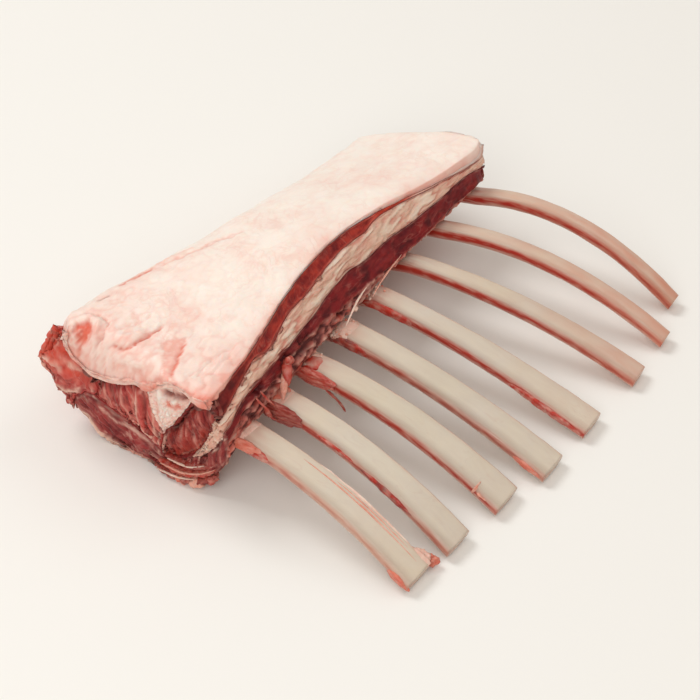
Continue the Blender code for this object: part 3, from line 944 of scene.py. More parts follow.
@dataclass
class MeatLayer:
    """One layer of the meat, lofted along X and closed by a domed cut face at each end."""

    name: str
    sides: tuple[tuple[Stretch, ...], ...]
    finish: TissueFinish
    slot: Slot
    steps: tuple[int, int]
    stations: int
    setback: tuple[float, float]
    bulge: float = 1.2
    bulge_width: float = 2.5
    edge_round: float = 0.7
    end_round: float = 0.6
    under_round: float = 0.45
    seam_inset: float = 0.05
    marks: tuple[Mark, ...] = ()

    END_STEPS = (0.0, 0.2, 0.5, 0.95, 1.6)

    def outline(self, section: MeatSection, x: Array) -> tuple[list[Array], Array]:
        """Shares of the four sides of the outline, and which of its steps lie outside.

        Args:
            section: The cross section.
            x: Stations.

        Returns:
            The sides in order, each without its last place, and one flag for each step.
        """
        sides, outside = [], []
        middle = np.array([section.middle])
        for number, side in enumerate(self.sides):
            total = self.steps[number % 2]
            spans = [section.stretch(stretch, middle, 12) for stretch in side]
            lengths = [np.linalg.norm(np.diff(section.place(middle, span), axis=1), axis=2).sum()
                       for span in spans]
            ends = np.round(np.cumsum([0, *lengths]) / sum(lengths) * total).astype(int)
            ends = np.maximum(ends, np.arange(len(ends)))
            ends[-1] = total
            counts = np.diff(ends)
            parts = [section.stretch(stretch, x, count)[:, :-1] for stretch, count in zip(side, counts)]
            sides.append(np.concatenate(parts, axis=1))
            outside += [stretch.outside for stretch, count in zip(side, counts) for _ in range(count)]
        return sides, np.array(outside)

    def bend_outline(self, section: MeatSection, x: Array, sides: list[Array]) -> None:
        """Change the outline's shares in place; most layers leave them alone."""

    def skin(self, section: MeatSection) -> tuple[Skin, list[list[int]]]:
        """Work out the layer's vertices and faces before its relief.

        The outline at every station makes the tube.  Places outside are drawn in near a
        seam and near the ends along quarter circles.  Each cut face is the patch between
        the end outline's four sides, domed by one less e to the minus distance from
        the rim.

        Args:
            section: The cross section.

        Returns:
            The vertices with what relief and marks need, and the faces.
        """
        near = section.near_end + self.setback[0] + self.bulge
        far = section.far_end - self.setback[1] - self.bulge
        ends = np.array(self.END_STEPS)
        body = np.linspace(near + 2.4, far - 2.4, self.stations)
        x = np.concatenate([near + ends, body, far - ends[::-1]])
        sides, outside_step = self.outline(section, x)
        self.bend_outline(section, x, sides)
        shares = np.concatenate(sides, axis=1)
        flat = section.place(x[:, None], shares)
        tangent = np.roll(flat, -1, axis=1) - np.roll(flat, 1, axis=1)
        normal = np.stack([tangent[..., 1], -tangent[..., 0]], axis=-1)
        normal /= np.linalg.norm(normal, axis=-1, keepdims=True) + 1e-9
        outside = outside_step | np.roll(outside_step, 1)
        gap = self._seam_gap(flat, outside_step)
        from_end = np.minimum(x - x[0], x[-1] - x)[:, None]
        inset = self._drawn_in(gap, self.edge_round) * outside + self.seam_inset * ~outside
        end_share = np.where(outside, 1.0, self.under_round)
        inset = inset + self._drawn_in(from_end, self.end_round) * end_share
        rings = flat - normal * inset[..., None]
        ring_count, ring_size = shares.shape[:2]
        places = [np.concatenate([np.broadcast_to(x[:, None, None], rings.shape[:2] + (1,)), rings], axis=2)]
        all_shares, rims = [shares.reshape(-1, 2)], [np.zeros(ring_count * ring_size)]
        faces = [tube_faces(ring_count, ring_size)]
        start = ring_count * ring_size
        cuts = []
        for ring, sign in ((0, -1), (ring_count - 1, 1)):
            grid_shares = self._patch([side[ring] for side in sides])
            split = np.cumsum([side.shape[1] for side in sides])[:-1]
            shift = self._patch(np.split(rings[ring] - flat[ring], split))
            grid = section.place(np.full(grid_shares.shape[:2], x[ring]), grid_shares) + shift
            index = self._grid_index(ring * ring_size, start)
            inner = grid[1:-1, 1:-1].reshape(-1, 2)
            loop = np.concatenate([rings[ring], rings[ring][:1]])
            rim, _ = path_distance(inner, loop)
            dome = sign * self.bulge * (1 - np.exp(-rim / self.bulge_width))
            places.append(np.column_stack([x[ring] + dome, inner])[None])
            all_shares.append(grid_shares[1:-1, 1:-1].reshape(-1, 2))
            rims.append(rim)
            cuts.append((start, start + len(inner)))
            corners = [index[:-1, :-1], index[:-1, 1:], index[1:, 1:], index[1:, :-1]]
            quads = np.stack(corners, axis=-1).reshape(-1, 4)
            faces.append(quads if sign < 0 else quads[:, ::-1])
            start += len(inner)
        points = np.concatenate([part.reshape(-1, 3) for part in places])
        count = len(points)
        near_cut, far_cut = np.zeros(count), np.zeros(count)
        near_cut[cuts[0][0]:cuts[0][1]] = 1.0
        far_cut[cuts[1][0]:cuts[1][1]] = 1.0
        near_cut[:ring_size] = 1.0
        outside_all, gap_all = np.zeros(count), np.zeros(count)
        tube = ring_count * ring_size
        outside_all[:tube] = np.broadcast_to(outside, (ring_count, ring_size)).ravel()
        gap_all[:tube] = gap.ravel()
        face_list = np.concatenate(faces).tolist()
        solid = Solid(points, face_list)
        skin = Skin(section, points, vertex_normals(solid), np.concatenate(all_shares), outside_all,
                    gap_all, near_cut, far_cut, np.concatenate(rims))
        return skin, face_list

    @staticmethod
    def _drawn_in(distance: Array, radius: float) -> Array:
        """Depth of a quarter circle: the radius at its edge, nothing a radius away."""
        short = radius - np.minimum(distance, radius)
        return radius - np.sqrt(np.maximum(radius**2 - short**2, 0.0))

    @staticmethod
    def _seam_gap(flat: Array, outside_step: Array) -> Array:
        """Distance of outside places from the nearer seam, walking along the outside."""
        size = flat.shape[1]
        gap = np.zeros(flat.shape[:2])
        if not outside_step.any():
            return gap
        first = int(np.flatnonzero(outside_step & ~np.roll(outside_step, 1))[0])
        order = (first + np.arange(int(outside_step.sum()) + 1)) % size
        steps = np.linalg.norm(np.diff(flat[:, order], axis=1), axis=2)
        walked = np.concatenate([np.zeros((len(flat), 1)), np.cumsum(steps, axis=1)], axis=1)
        gap[:, order] = np.minimum(walked, walked[:, -1:] - walked)
        return gap

    @staticmethod
    def _patch(sides: Sequence[Array]) -> Array:
        """Fill four sides with a patch: both rulings added, less the corners' own patch."""
        corners = [side[0] for side in sides]
        closed = [np.concatenate([side, corners[(k + 1) % 4][None]]) for k, side in enumerate(sides)]
        low, right, high, left = closed[0], closed[1], closed[2][::-1], closed[3][::-1]
        s = np.linspace(0, 1, len(low))[:, None, None]
        t = np.linspace(0, 1, len(left))[None, :, None]
        ruled = (1 - t) * low[:, None] + t * high[:, None] + (1 - s) * left[None] + s * right[None]
        bilinear = ((1 - s) * (1 - t) * corners[0] + s * (1 - t) * corners[1]
                    + s * t * corners[2] + (1 - s) * t * corners[3])
        return ruled - bilinear

    def _grid_index(self, ring_start: int, inner_start: int) -> Array:
        """Vertex numbers of a cut face's grid: its rim is the end ring."""
        wide, high = self.steps
        index = np.zeros((wide + 1, high + 1), int)
        index[:wide, 0] = ring_start + np.arange(wide)
        index[wide, :high] = ring_start + wide + np.arange(high)
        index[wide:0:-1, high] = ring_start + wide + high + np.arange(wide)
        index[0, high:0:-1] = ring_start + 2 * wide + high + np.arange(high)
        inner = inner_start + np.arange((wide - 1) * (high - 1))
        index[1:-1, 1:-1] = inner.reshape(wide - 1, high - 1)
        return index

    def relief(self, skin: Skin) -> Array:
        """Height of the layer's own surface over its plain form, in millimetres."""
        return 0.25 * layered_noise(skin.places, 6.0, 11)

    def tints(self, skin: Skin) -> dict[Tint, Array]:
        """The layer's own tints at each vertex."""
        return {}

    def build(self, section: MeatSection, materials: dict[str, bpy.types.Material]) -> bpy.types.Object:
        """Build the layer and dress it.

        Args:
            section: The cross section.
            materials: Materials by finish name.

        Returns:
            The piece, which stands for the CAD node of the same name.
        """
        skin, faces = self.skin(section)
        height = self.relief(skin)
        tints = {kind: np.zeros(len(skin.places)) for kind in Tint}
        tints.update(self.tints(skin))
        for mark in self.marks:
            strength = mark.strength(skin)
            height = height + strength * mark.height
            if Tint.DARK not in dict(mark.tints):
                tints[Tint.DARK] = tints[Tint.DARK] * (1 - 0.85 * strength)
            for kind, share in mark.tints:
                tints[kind] = np.maximum(tints[kind], strength * share)
        places = skin.places + skin.normals * height[:, None]
        low = 0.02
        places[:, 2] = np.maximum(places[:, 2], low)
        solid = Solid(places, faces, tints)
        return make_piece(self.name, solid, materials[self.finish.name], self.slot, [self.name])


class FatCap(MeatLayer):
    """The smooth fat on top, with a scalloped hem that overhangs the near cut."""

    # The hem's height over the share across, at the near end.
    HEM = ((0, 0.885), (0.04, 0.865), (0.09, 0.87), (0.135, 0.90), (0.17, 0.925), (0.22, 0.92),
           (0.28, 0.87), (0.36, 0.77), (0.40, 0.74), (0.45, 0.755), (0.52, 0.69), (0.62, 0.63),
           (0.70, 0.62), (0.79, 0.63), (0.86, 0.75), (0.905, 0.85), (1, 0.90))
    HEM_LENGTH = 7.0
    NOSE = (8.5, 8.0)
    LIP = 4.6
    SET_BACK = 0.095
    SET_BACK_LENGTH = 13.0

    def bend_outline(self, section: MeatSection, x: Array, sides: list[Array]) -> None:
        """Give the fat its hem at the near end, and round its top down to it at both ends.

        The corner beside the lobe is set back.  The lower side moves to the hem's height,
        easing out inwards.  The other three sides come down towards the lower side along
        a quarter ellipse, and stop a lip's thickness above it.

        Args:
            section: The cross section.
            x: Stations.
            sides: The outline's four sides, changed in place.
        """
        set_back = self.SET_BACK * (1 - eased((x - section.near_end) / self.SET_BACK_LENGTH))
        for side in sides:
            side[..., 0] -= set_back[:, None] * eased((side[..., 0] - 0.6) / 0.4)
        lower = sides[0]
        plain = lower[0].copy()
        fade = 1 - eased((x - section.near_end) / self.HEM_LENGTH)
        rise = smooth_curve(self.HEM)(plain[:, 0]) - plain[:, 1]
        lower[:, :, 1] += fade[:, None] * rise[None]
        near, far = ((np.clip(away / length, 0.0, 1.0)) for away, length in
                     zip((x - x[0], x[-1] - x), self.NOSE))
        nose = np.sqrt(1 - (1 - np.minimum(near, far)) ** 2)
        for side in sides[1:]:
            tall = section.place(x[:, None], np.stack([side[..., 0], np.ones_like(side[..., 0])], axis=-1))
            base_up = section.place(x[:, None], np.stack([side[..., 0], np.zeros_like(side[..., 0])], axis=-1))
            lips = self.LIP / np.maximum(tall[..., 1] - base_up[..., 1], 1.0)
            for row, (low, high) in enumerate(zip(lower, side)):
                base = np.interp(high[:, 0], low[:, 0], low[:, 1])
                thick = high[:, 1] - base
                lip = np.minimum(lips[row], thick)
                high[:, 1] = base + lip + (thick - lip) * nose[row]

    def relief(self, skin: Skin) -> Array:
        """Broad hollows, lumps, and wrinkles with sharp valleys, stronger at the near end."""
        near = eased((skin.section.near_end + 80 - skin.x) / 80)
        broad = 0.7 * layered_noise(skin.places, 24.0, 21, 2)
        lumps = (0.2 + 0.5 * near) * layered_noise(skin.places, (9.0, 7.0, 7.0), 31)
        folds = (0.2 + 0.6 * near) * np.abs(self.folds(skin))
        wrinkles = (0.15 + 0.45 * near) * np.abs(layered_noise(skin.places, (3.4, 2.4, 2.4), 41, 2))
        lip = eased((skin.section.near_end + 5 - skin.x) / 5)
        scallops = 1.1 * lip * layered_noise(skin.places, 6.0, 47, 2)
        relief = broad + lumps + folds + wrinkles + scallops - 0.3 * near
        return relief * np.maximum(skin.outside, skin.near_cut)

    @staticmethod
    def folds(skin: Skin) -> Array:
        """Noise whose middle value runs along the valleys between broad folds."""
        return layered_noise(skin.places, (9.0, 5.5, 5.5), 45, 2)

    def tints(self, skin: Skin) -> dict[Tint, Array]:
        """Pinker near the near end and along the edges, paler on top."""
        near = eased((skin.section.near_end + 60 - skin.x) / 60)
        clouds = layered_noise(skin.places, 14.0, 51)
        edge = bump(skin.seam_gap, 3.2) * skin.outside
        edge = np.maximum(edge, near * bump(skin.shares[:, 0], 0.09) * skin.outside)
        rim = eased((-skin.normals[:, 1] - 0.35) / 0.3) * skin.outside
        far_lip = eased((skin.x - skin.section.far_end + 4) / 4)
        valleys = bump(self.folds(skin), 0.1)
        blush = 0.05 + 0.2 * near + 0.22 * clouds + 0.5 * edge + (0.12 + 0.25 * near) * valleys
        blush = blush + 0.3 * far_lip + 0.35 * rim
        pale = 0.35 * (1 - near) * eased(0.5 - clouds)
        spots = layered_noise(skin.places, 5.0, 61)
        blood = 0.5 * bump(skin.seam_gap, 0.8) * skin.outside * eased(1.4 * spots + 0.5)
        lip = eased((skin.section.near_end + 3.5 - skin.x) / 3.5)
        blush = blush + 0.35 * lip
        blood = np.maximum(blood, 0.4 * lip * eased(0.1 + 2 * spots))
        return {Tint.BLUSH: blush, Tint.PALE: pale, Tint.BLOOD: blood}


@dataclass
class Lean(MeatLayer):
    """A muscle: bundles of fibres with clefts between them, darker along its seams."""

    grain_lean: float = 0.0
    bundle: float = 3.0
    hem_depth: float = 2.2

    FIBRE_CELL = (1.6, 1.6, 7.0)

    def grain(self, skin: Skin) -> Array:
        """Places turned and bent in the cut face's plane, so that the fibres run along Z."""
        y, z = skin.places[:, 1], skin.places[:, 2]
        cosine, sine = math.cos(self.grain_lean), math.sin(self.grain_lean)
        bend = 2.5 * noise(skin.places, 12.0, 75)
        return np.stack([skin.x, y * cosine + z * sine + bend, z * cosine - y * sine], axis=1)

    def clefts(self, skin: Skin) -> Array:
        """Bells along the lines where a noise drawn out along the fibres crosses its middle."""
        cell = (2 * self.bundle, self.bundle, 4.5 * self.bundle)
        return bump(layered_noise(self.grain(skin), cell, 77 + len(self.name), 2), 0.2)

    def below_hem(self, skin: Skin) -> Array:
        """Share of each place on the near cut that lies close under the fat's hem."""
        gap = smooth_curve(FatCap.HEM)(skin.shares[:, 0]) - skin.shares[:, 1]
        return bump(np.maximum(gap, 0.0), 0.1) * skin.near_cut

    def relief(self, skin: Skin) -> Array:
        """Coarse swell, drawn-out fibres and clefts, cut back below the hem."""
        cut = np.maximum(skin.near_cut, skin.far_cut)
        swell = 0.8 * layered_noise(skin.places, 7.0, 71, 2)
        fibres = 0.35 * layered_noise(self.grain(skin), self.FIBRE_CELL, 81, 2)
        clefts = self.clefts(skin)
        return ((swell + fibres) * np.maximum(cut, 0.6 * skin.outside) - 0.9 * clefts * cut
                - self.hem_depth * self.below_hem(skin))

    def tints(self, skin: Skin) -> dict[Tint, Array]:
        """Clefts dark in places and pale in others, patchy dark and pale lines at the rim, and painted shade close
        under the fat's hem.
        """
        cut = np.maximum(skin.near_cut, skin.far_cut)
        ragged = layered_noise(skin.places, 4.0, 91)
        clefts = self.clefts(skin) * cut
        dark = 0.4 * bump(skin.rim, 0.6) * cut * eased(ragged + 0.4)
        # The last term is painted shade on the cut face, close under the fat's hem.
        dark = dark + 0.6 * clefts * eased(0.5 - 1.6 * ragged) + 0.25 * self.below_hem(skin)
        pale = 0.7 * bump(skin.rim - 0.7, 0.4) * cut * eased(0.3 - 1.5 * ragged)
        streak = layered_noise(self.grain(skin), (3.0, 1.1, 9.0), 93, 2)
        pale = pale + 0.5 * clefts * eased(1.6 * ragged) + 0.42 * eased(1.6 * streak - 0.3) * cut
        return {Tint.DARK: dark, Tint.PALE: pale, Tint.BLUSH: 0.35 * eased(1.2 * streak + 0.3) * cut}


@dataclass
class StripMuscle(Lean):
    """A muscle that also shows as a strip along the rib side, sunk below the fat."""

    FIBRE_CELL = (2.2, 2.2, 5.0)
    SUNK = 0.7

    def relief(self, skin: Skin) -> Array:
        """The muscle's own relief, sunk along the rib side and uneven along X."""
        strip = skin.outside * eased(skin.seam_gap / 1.2)
        uneven = 0.5 * layered_noise(skin.places, (9.0, 4.0, 4.0), 101, 2)
        return super().relief(skin) + (uneven - self.SUNK) * strip

    def tints(self, skin: Skin) -> dict[Tint, Array]:
        """Thin skins along the strip's edges, and patchy painted shade along its seams."""
        tints = super().tints(skin)
        ragged = layered_noise(skin.places, (6.0, 2.0, 2.0), 111)
        edge = bump(skin.seam_gap - 0.25, 0.3) * skin.outside * eased(ragged + 0.3)
        tints[Tint.PALE] = np.maximum(tints[Tint.PALE], 0.55 * edge)
        # Patchy painted shade along the strip's seams, under the fat's edge.
        dark = 0.6 * bump(skin.seam_gap, 0.7) * skin.outside * eased(0.4 - ragged)
        tints[Tint.DARK] = np.maximum(tints[Tint.DARK], dark)
        return tints


class SeamFat(MeatLayer):
    """The white strip of fat along the rib side, streaked lengthwise."""

    def relief(self, skin: Skin) -> Array:
        """A soft roll with lengthwise cords."""
        roll = 0.7 * eased(skin.seam_gap / 2.2) * skin.outside
        lumps = 0.5 * layered_noise(skin.places, (7.0, 3.0, 3.0), 131, 2)
        cords = 0.8 * (0.3 - bump(self.streaks(skin), 0.16))
        return roll + (cords + lumps) * np.maximum(skin.outside, skin.near_cut)

    @staticmethod
    def streaks(skin: Skin) -> Array:
        """Noise drawn out along X, whose middle value runs along fine grooves."""
        return layered_noise(skin.places, (12.0, 2.2, 2.2), 141, 2)

    def tints(self, skin: Skin) -> dict[Tint, Array]:
        """Pinkish streaks, redder at both edges."""
        streak = self.streaks(skin)
        groove = bump(streak, 0.1) * eased(0.4 + 2.0 * layered_noise(skin.places, (9.0, 4.0, 4.0), 147, 2))
        edge = bump(skin.seam_gap, 0.8) * skin.outside
        blush = 0.16 + 0.3 * streak + 0.4 * edge + 0.5 * groove
        pale = eased(-streak * 1.6) * 0.5
        blush = blush + 0.3 * bump(skin.rim, 2.0) * skin.near_cut
        blood = (0.6 * bump(skin.seam_gap, 0.4) + 0.3 * groove) * skin.outside
        return {Tint.BLUSH: blush, Tint.PALE: pale, Tint.BLOOD: blood}


@dataclass
class CapMuscle(StripMuscle):
    """The cap: deep maroon near the near end, brighter and mottled red further on."""

    def tints(self, skin: Skin) -> dict[Tint, Array]:
        """Strip tints, with a brighter lower edge."""
        tints = super().tints(skin)
        patches = layered_noise(skin.places, (5.0, 3.0, 3.0), 175)
        strip = skin.outside * (1 - skin.near_cut)
        deep = eased((-58 - skin.x) / 16)
        tints[Tint.DARK] = np.maximum(tints[Tint.DARK], strip * (0.45 * deep + 0.35 * eased(0.2 + 1.6 * patches)))
        bright = 0.3 * eased(0.2 - 1.8 * patches) * (1 - 0.8 * deep)
        orange = eased((skin.x - 22) / 10)
        edge = 0.55 * bump(skin.seam_gap - 0.4, 0.45) + 0.6 * orange
        skinned = strip * eased((skin.x - 40) / 14)
        tints[Tint.BLOOD] = strip * np.maximum(bright, edge) * (1 - skinned)
        tints[Tint.BLUSH] = np.maximum(tints[Tint.BLUSH], 0.8 * strip * np.maximum(orange, bump(skin.seam_gap, 0.35)))
        tints[Tint.PALE] = np.maximum(tints[Tint.PALE], 0.9 * skinned)
        tints[Tint.DARK] = tints[Tint.DARK] * (1 - skinned)
        return tints


@dataclass
class RibMuscle(StripMuscle):
    """The lower strip: dark red above, pale torn skin and hollows above the rib roots."""

    # Height of the dark strip's lower edge, as (X, up).
    STRIP_FOOT = ((-90, 0.44), (-76, 0.58), (-67, 0.53), (-58, 0.50), (-47, 0.54), (-36, 0.54),
                  (-24, 0.54), (-11, 0.46), (5, 0.44), (22, 0.36), (35, 0.34), (54, 0.30),
                  (67, 0.38), (84, 0.32))

    def below_strip(self, skin: Skin) -> Array:
        """Share of each vertex that lies below the dark strip on the rib side."""
        foot = smooth_curve(self.STRIP_FOOT)(skin.x)
        ragged = 0.03 * layered_noise(skin.places, 4.0, 151)
        rib_side = eased((-skin.normals[:, 1] + 0.25) / 0.4) * skin.outside
        return eased((foot + ragged - skin.shares[:, 1]) / 0.06) * rib_side

    def relief(self, skin: Skin) -> Array:
        """Strip relief, with a hollow below the strip and torn lumps below that."""
        below, hollow, torn = self.below_strip(skin), self.hollow(skin), self.torn(skin)
        return super().relief(skin) + below * (1.4 * torn - 2.0 * hollow)

    def hollow(self, skin: Skin) -> Array:
        """Bell just below the strip's foot, strong near the near end and broken further on."""
        depth = smooth_curve(self.STRIP_FOOT)(skin.x) - skin.shares[:, 1]
        broken = eased(0.5 + 1.6 * layered_noise(skin.places, (7.0, 5.0, 5.0), 163, 2))
        near = 1 - 0.6 * eased((skin.x + 30) / 30)
        return bump(depth - 0.13, 0.1) * near * broken

    @staticmethod
    def torn(skin: Skin) -> Array:
        """Noise of torn lumps, a little drawn out along X."""
        return layered_noise(skin.places, (4.0, 2.6, 2.2), 161)

    def tints(self, skin: Skin) -> dict[Tint, Array]:
        """Dark patches in the strip, painted shade in the hollows and between the torn lumps, and torn pink skins
        below it.
        """
        tints = super().tints(skin)
        below, torn = self.below_strip(skin), self.torn(skin)
        patches = layered_noise(skin.places, (6.0, 3.0, 3.0), 173)
        tints[Tint.DARK] = np.maximum(tints[Tint.DARK], 0.7 * eased(0.3 + 1.6 * patches) * skin.outside * (1 - below))
        # Painted shade: dark in the hollow below the strip and in the low places between the torn lumps.
        dark = np.maximum(0.95 * self.hollow(skin), 0.85 * eased(0.25 - 2.6 * torn))
        tints[Tint.DARK] = np.maximum(tints[Tint.DARK], below * dark)
        tints[Tint.PALE] = np.maximum(tints[Tint.PALE], below * (0.05 + 0.5 * eased(2.5 * torn)))
        tints[Tint.BLOOD] = 0.6 * below * eased(-1.5 * patches + 0.1)
        under = eased((-skin.normals[:, 2] - 0.3) / 0.4) * skin.outside
        skin_patch = eased(layered_noise(skin.places, 12.0, 171) + 0.55)
        tints[Tint.BLUSH] = np.maximum(tints[Tint.BLUSH], np.maximum(under * skin_patch * 0.75, 0.5 * below))
        return tints


@dataclass
class EyeMuscle(Lean):
    """The dark round muscle, with a pale skin where it faces the table."""

    FIBRE_CELL = (3.0, 2.2, 1.6)

    def tints(self, skin: Skin) -> dict[Tint, Array]:
        """Lean tints and a blotchy skin below."""
        tints = super().tints(skin)
        under = skin.outside * eased(skin.seam_gap / 2.0)
        skin_patch = eased(layered_noise(skin.places, 10.0, 181) + 0.5)
        tints[Tint.BLUSH] = np.maximum(0.6 * tints[Tint.BLUSH], under * skin_patch * 0.8)
        return tints


@dataclass
class EdgeMuscle(Lean):
    """The lobe on the spine side: red flesh crossed by bands of fat."""

    FIBRE_CELL = (5.0, 2.0, 2.0)
    RAISED = 0.13

    def bend_outline(self, section: MeatSection, x: Array, sides: list[Array]) -> None:
        """Raise the lobe beside the fat's set-back corner.

        Args:
            section: The cross section.
            x: Stations.
            sides: The outline's four sides, changed in place.
        """
        fade = 1 - eased((x - section.near_end) / FatCap.SET_BACK_LENGTH)
        for side in sides:
            outer = eased((side[..., 0] - 0.86) / 0.07) * np.clip(side[..., 1] / 0.86, 0.0, 1.0) ** 2
            side[..., 1] += self.RAISED * fade[:, None] * outer

    def knobs(self, skin: Skin) -> Array:
        """Share of torn, knobbly flesh: near the near end, fading along the lobe."""
        return (1 - eased((skin.x - skin.section.near_end - 6) / 16)) * np.maximum(skin.outside, skin.near_cut)

    def relief(self, skin: Skin) -> Array:
        """Lean relief with soft lobes along the spine side and knobs at the near end."""
        lobes = 1.2 * layered_noise(skin.places, (9.0, 7.0, 6.0), 191, 2)
        knobs = 1.7 * layered_noise(skin.places, 4.6, 193, 2) * self.knobs(skin)
        inner = eased(np.maximum(skin.seam_gap, skin.rim) / 2.0)
        return super().relief(skin) + (lobes * skin.outside + knobs) * inner

    def tints(self, skin: Skin) -> dict[Tint, Array]:
        """Thin fat over the lobe, torn open in places, and orange-red knobs."""
        tints = super().tints(skin)
        cover = eased(layered_noise(skin.places, (14.0, 8.0, 8.0), 201) * 1.5 + 0.75)
        cover *= skin.outside * eased((skin.x - skin.section.near_end - 10) / 10)
        tints[Tint.PALE] = np.maximum(tints[Tint.PALE], cover * 0.85)
        knob = layered_noise(skin.places, 4.6, 193, 2)
        torn = self.knobs(skin) * eased((skin.places[:, 2] - 22) / 12 + 0.8 * skin.outside)
        tints[Tint.BLOOD] = 0.75 * torn * eased(0.7 - 1.4 * knob)
        tints[Tint.BLUSH] = np.maximum(tints[Tint.BLUSH], 0.9 * torn * eased(1.6 * knob + 0.3))
        tints[Tint.PALE] = np.maximum(tints[Tint.PALE], 0.6 * torn * eased(1.4 * knob + 0.2))
        tints[Tint.DARK] = tints[Tint.DARK] * (0.7 - 0.5 * torn)
        return tints


# --- the layers -----------------------------------------------------------------------


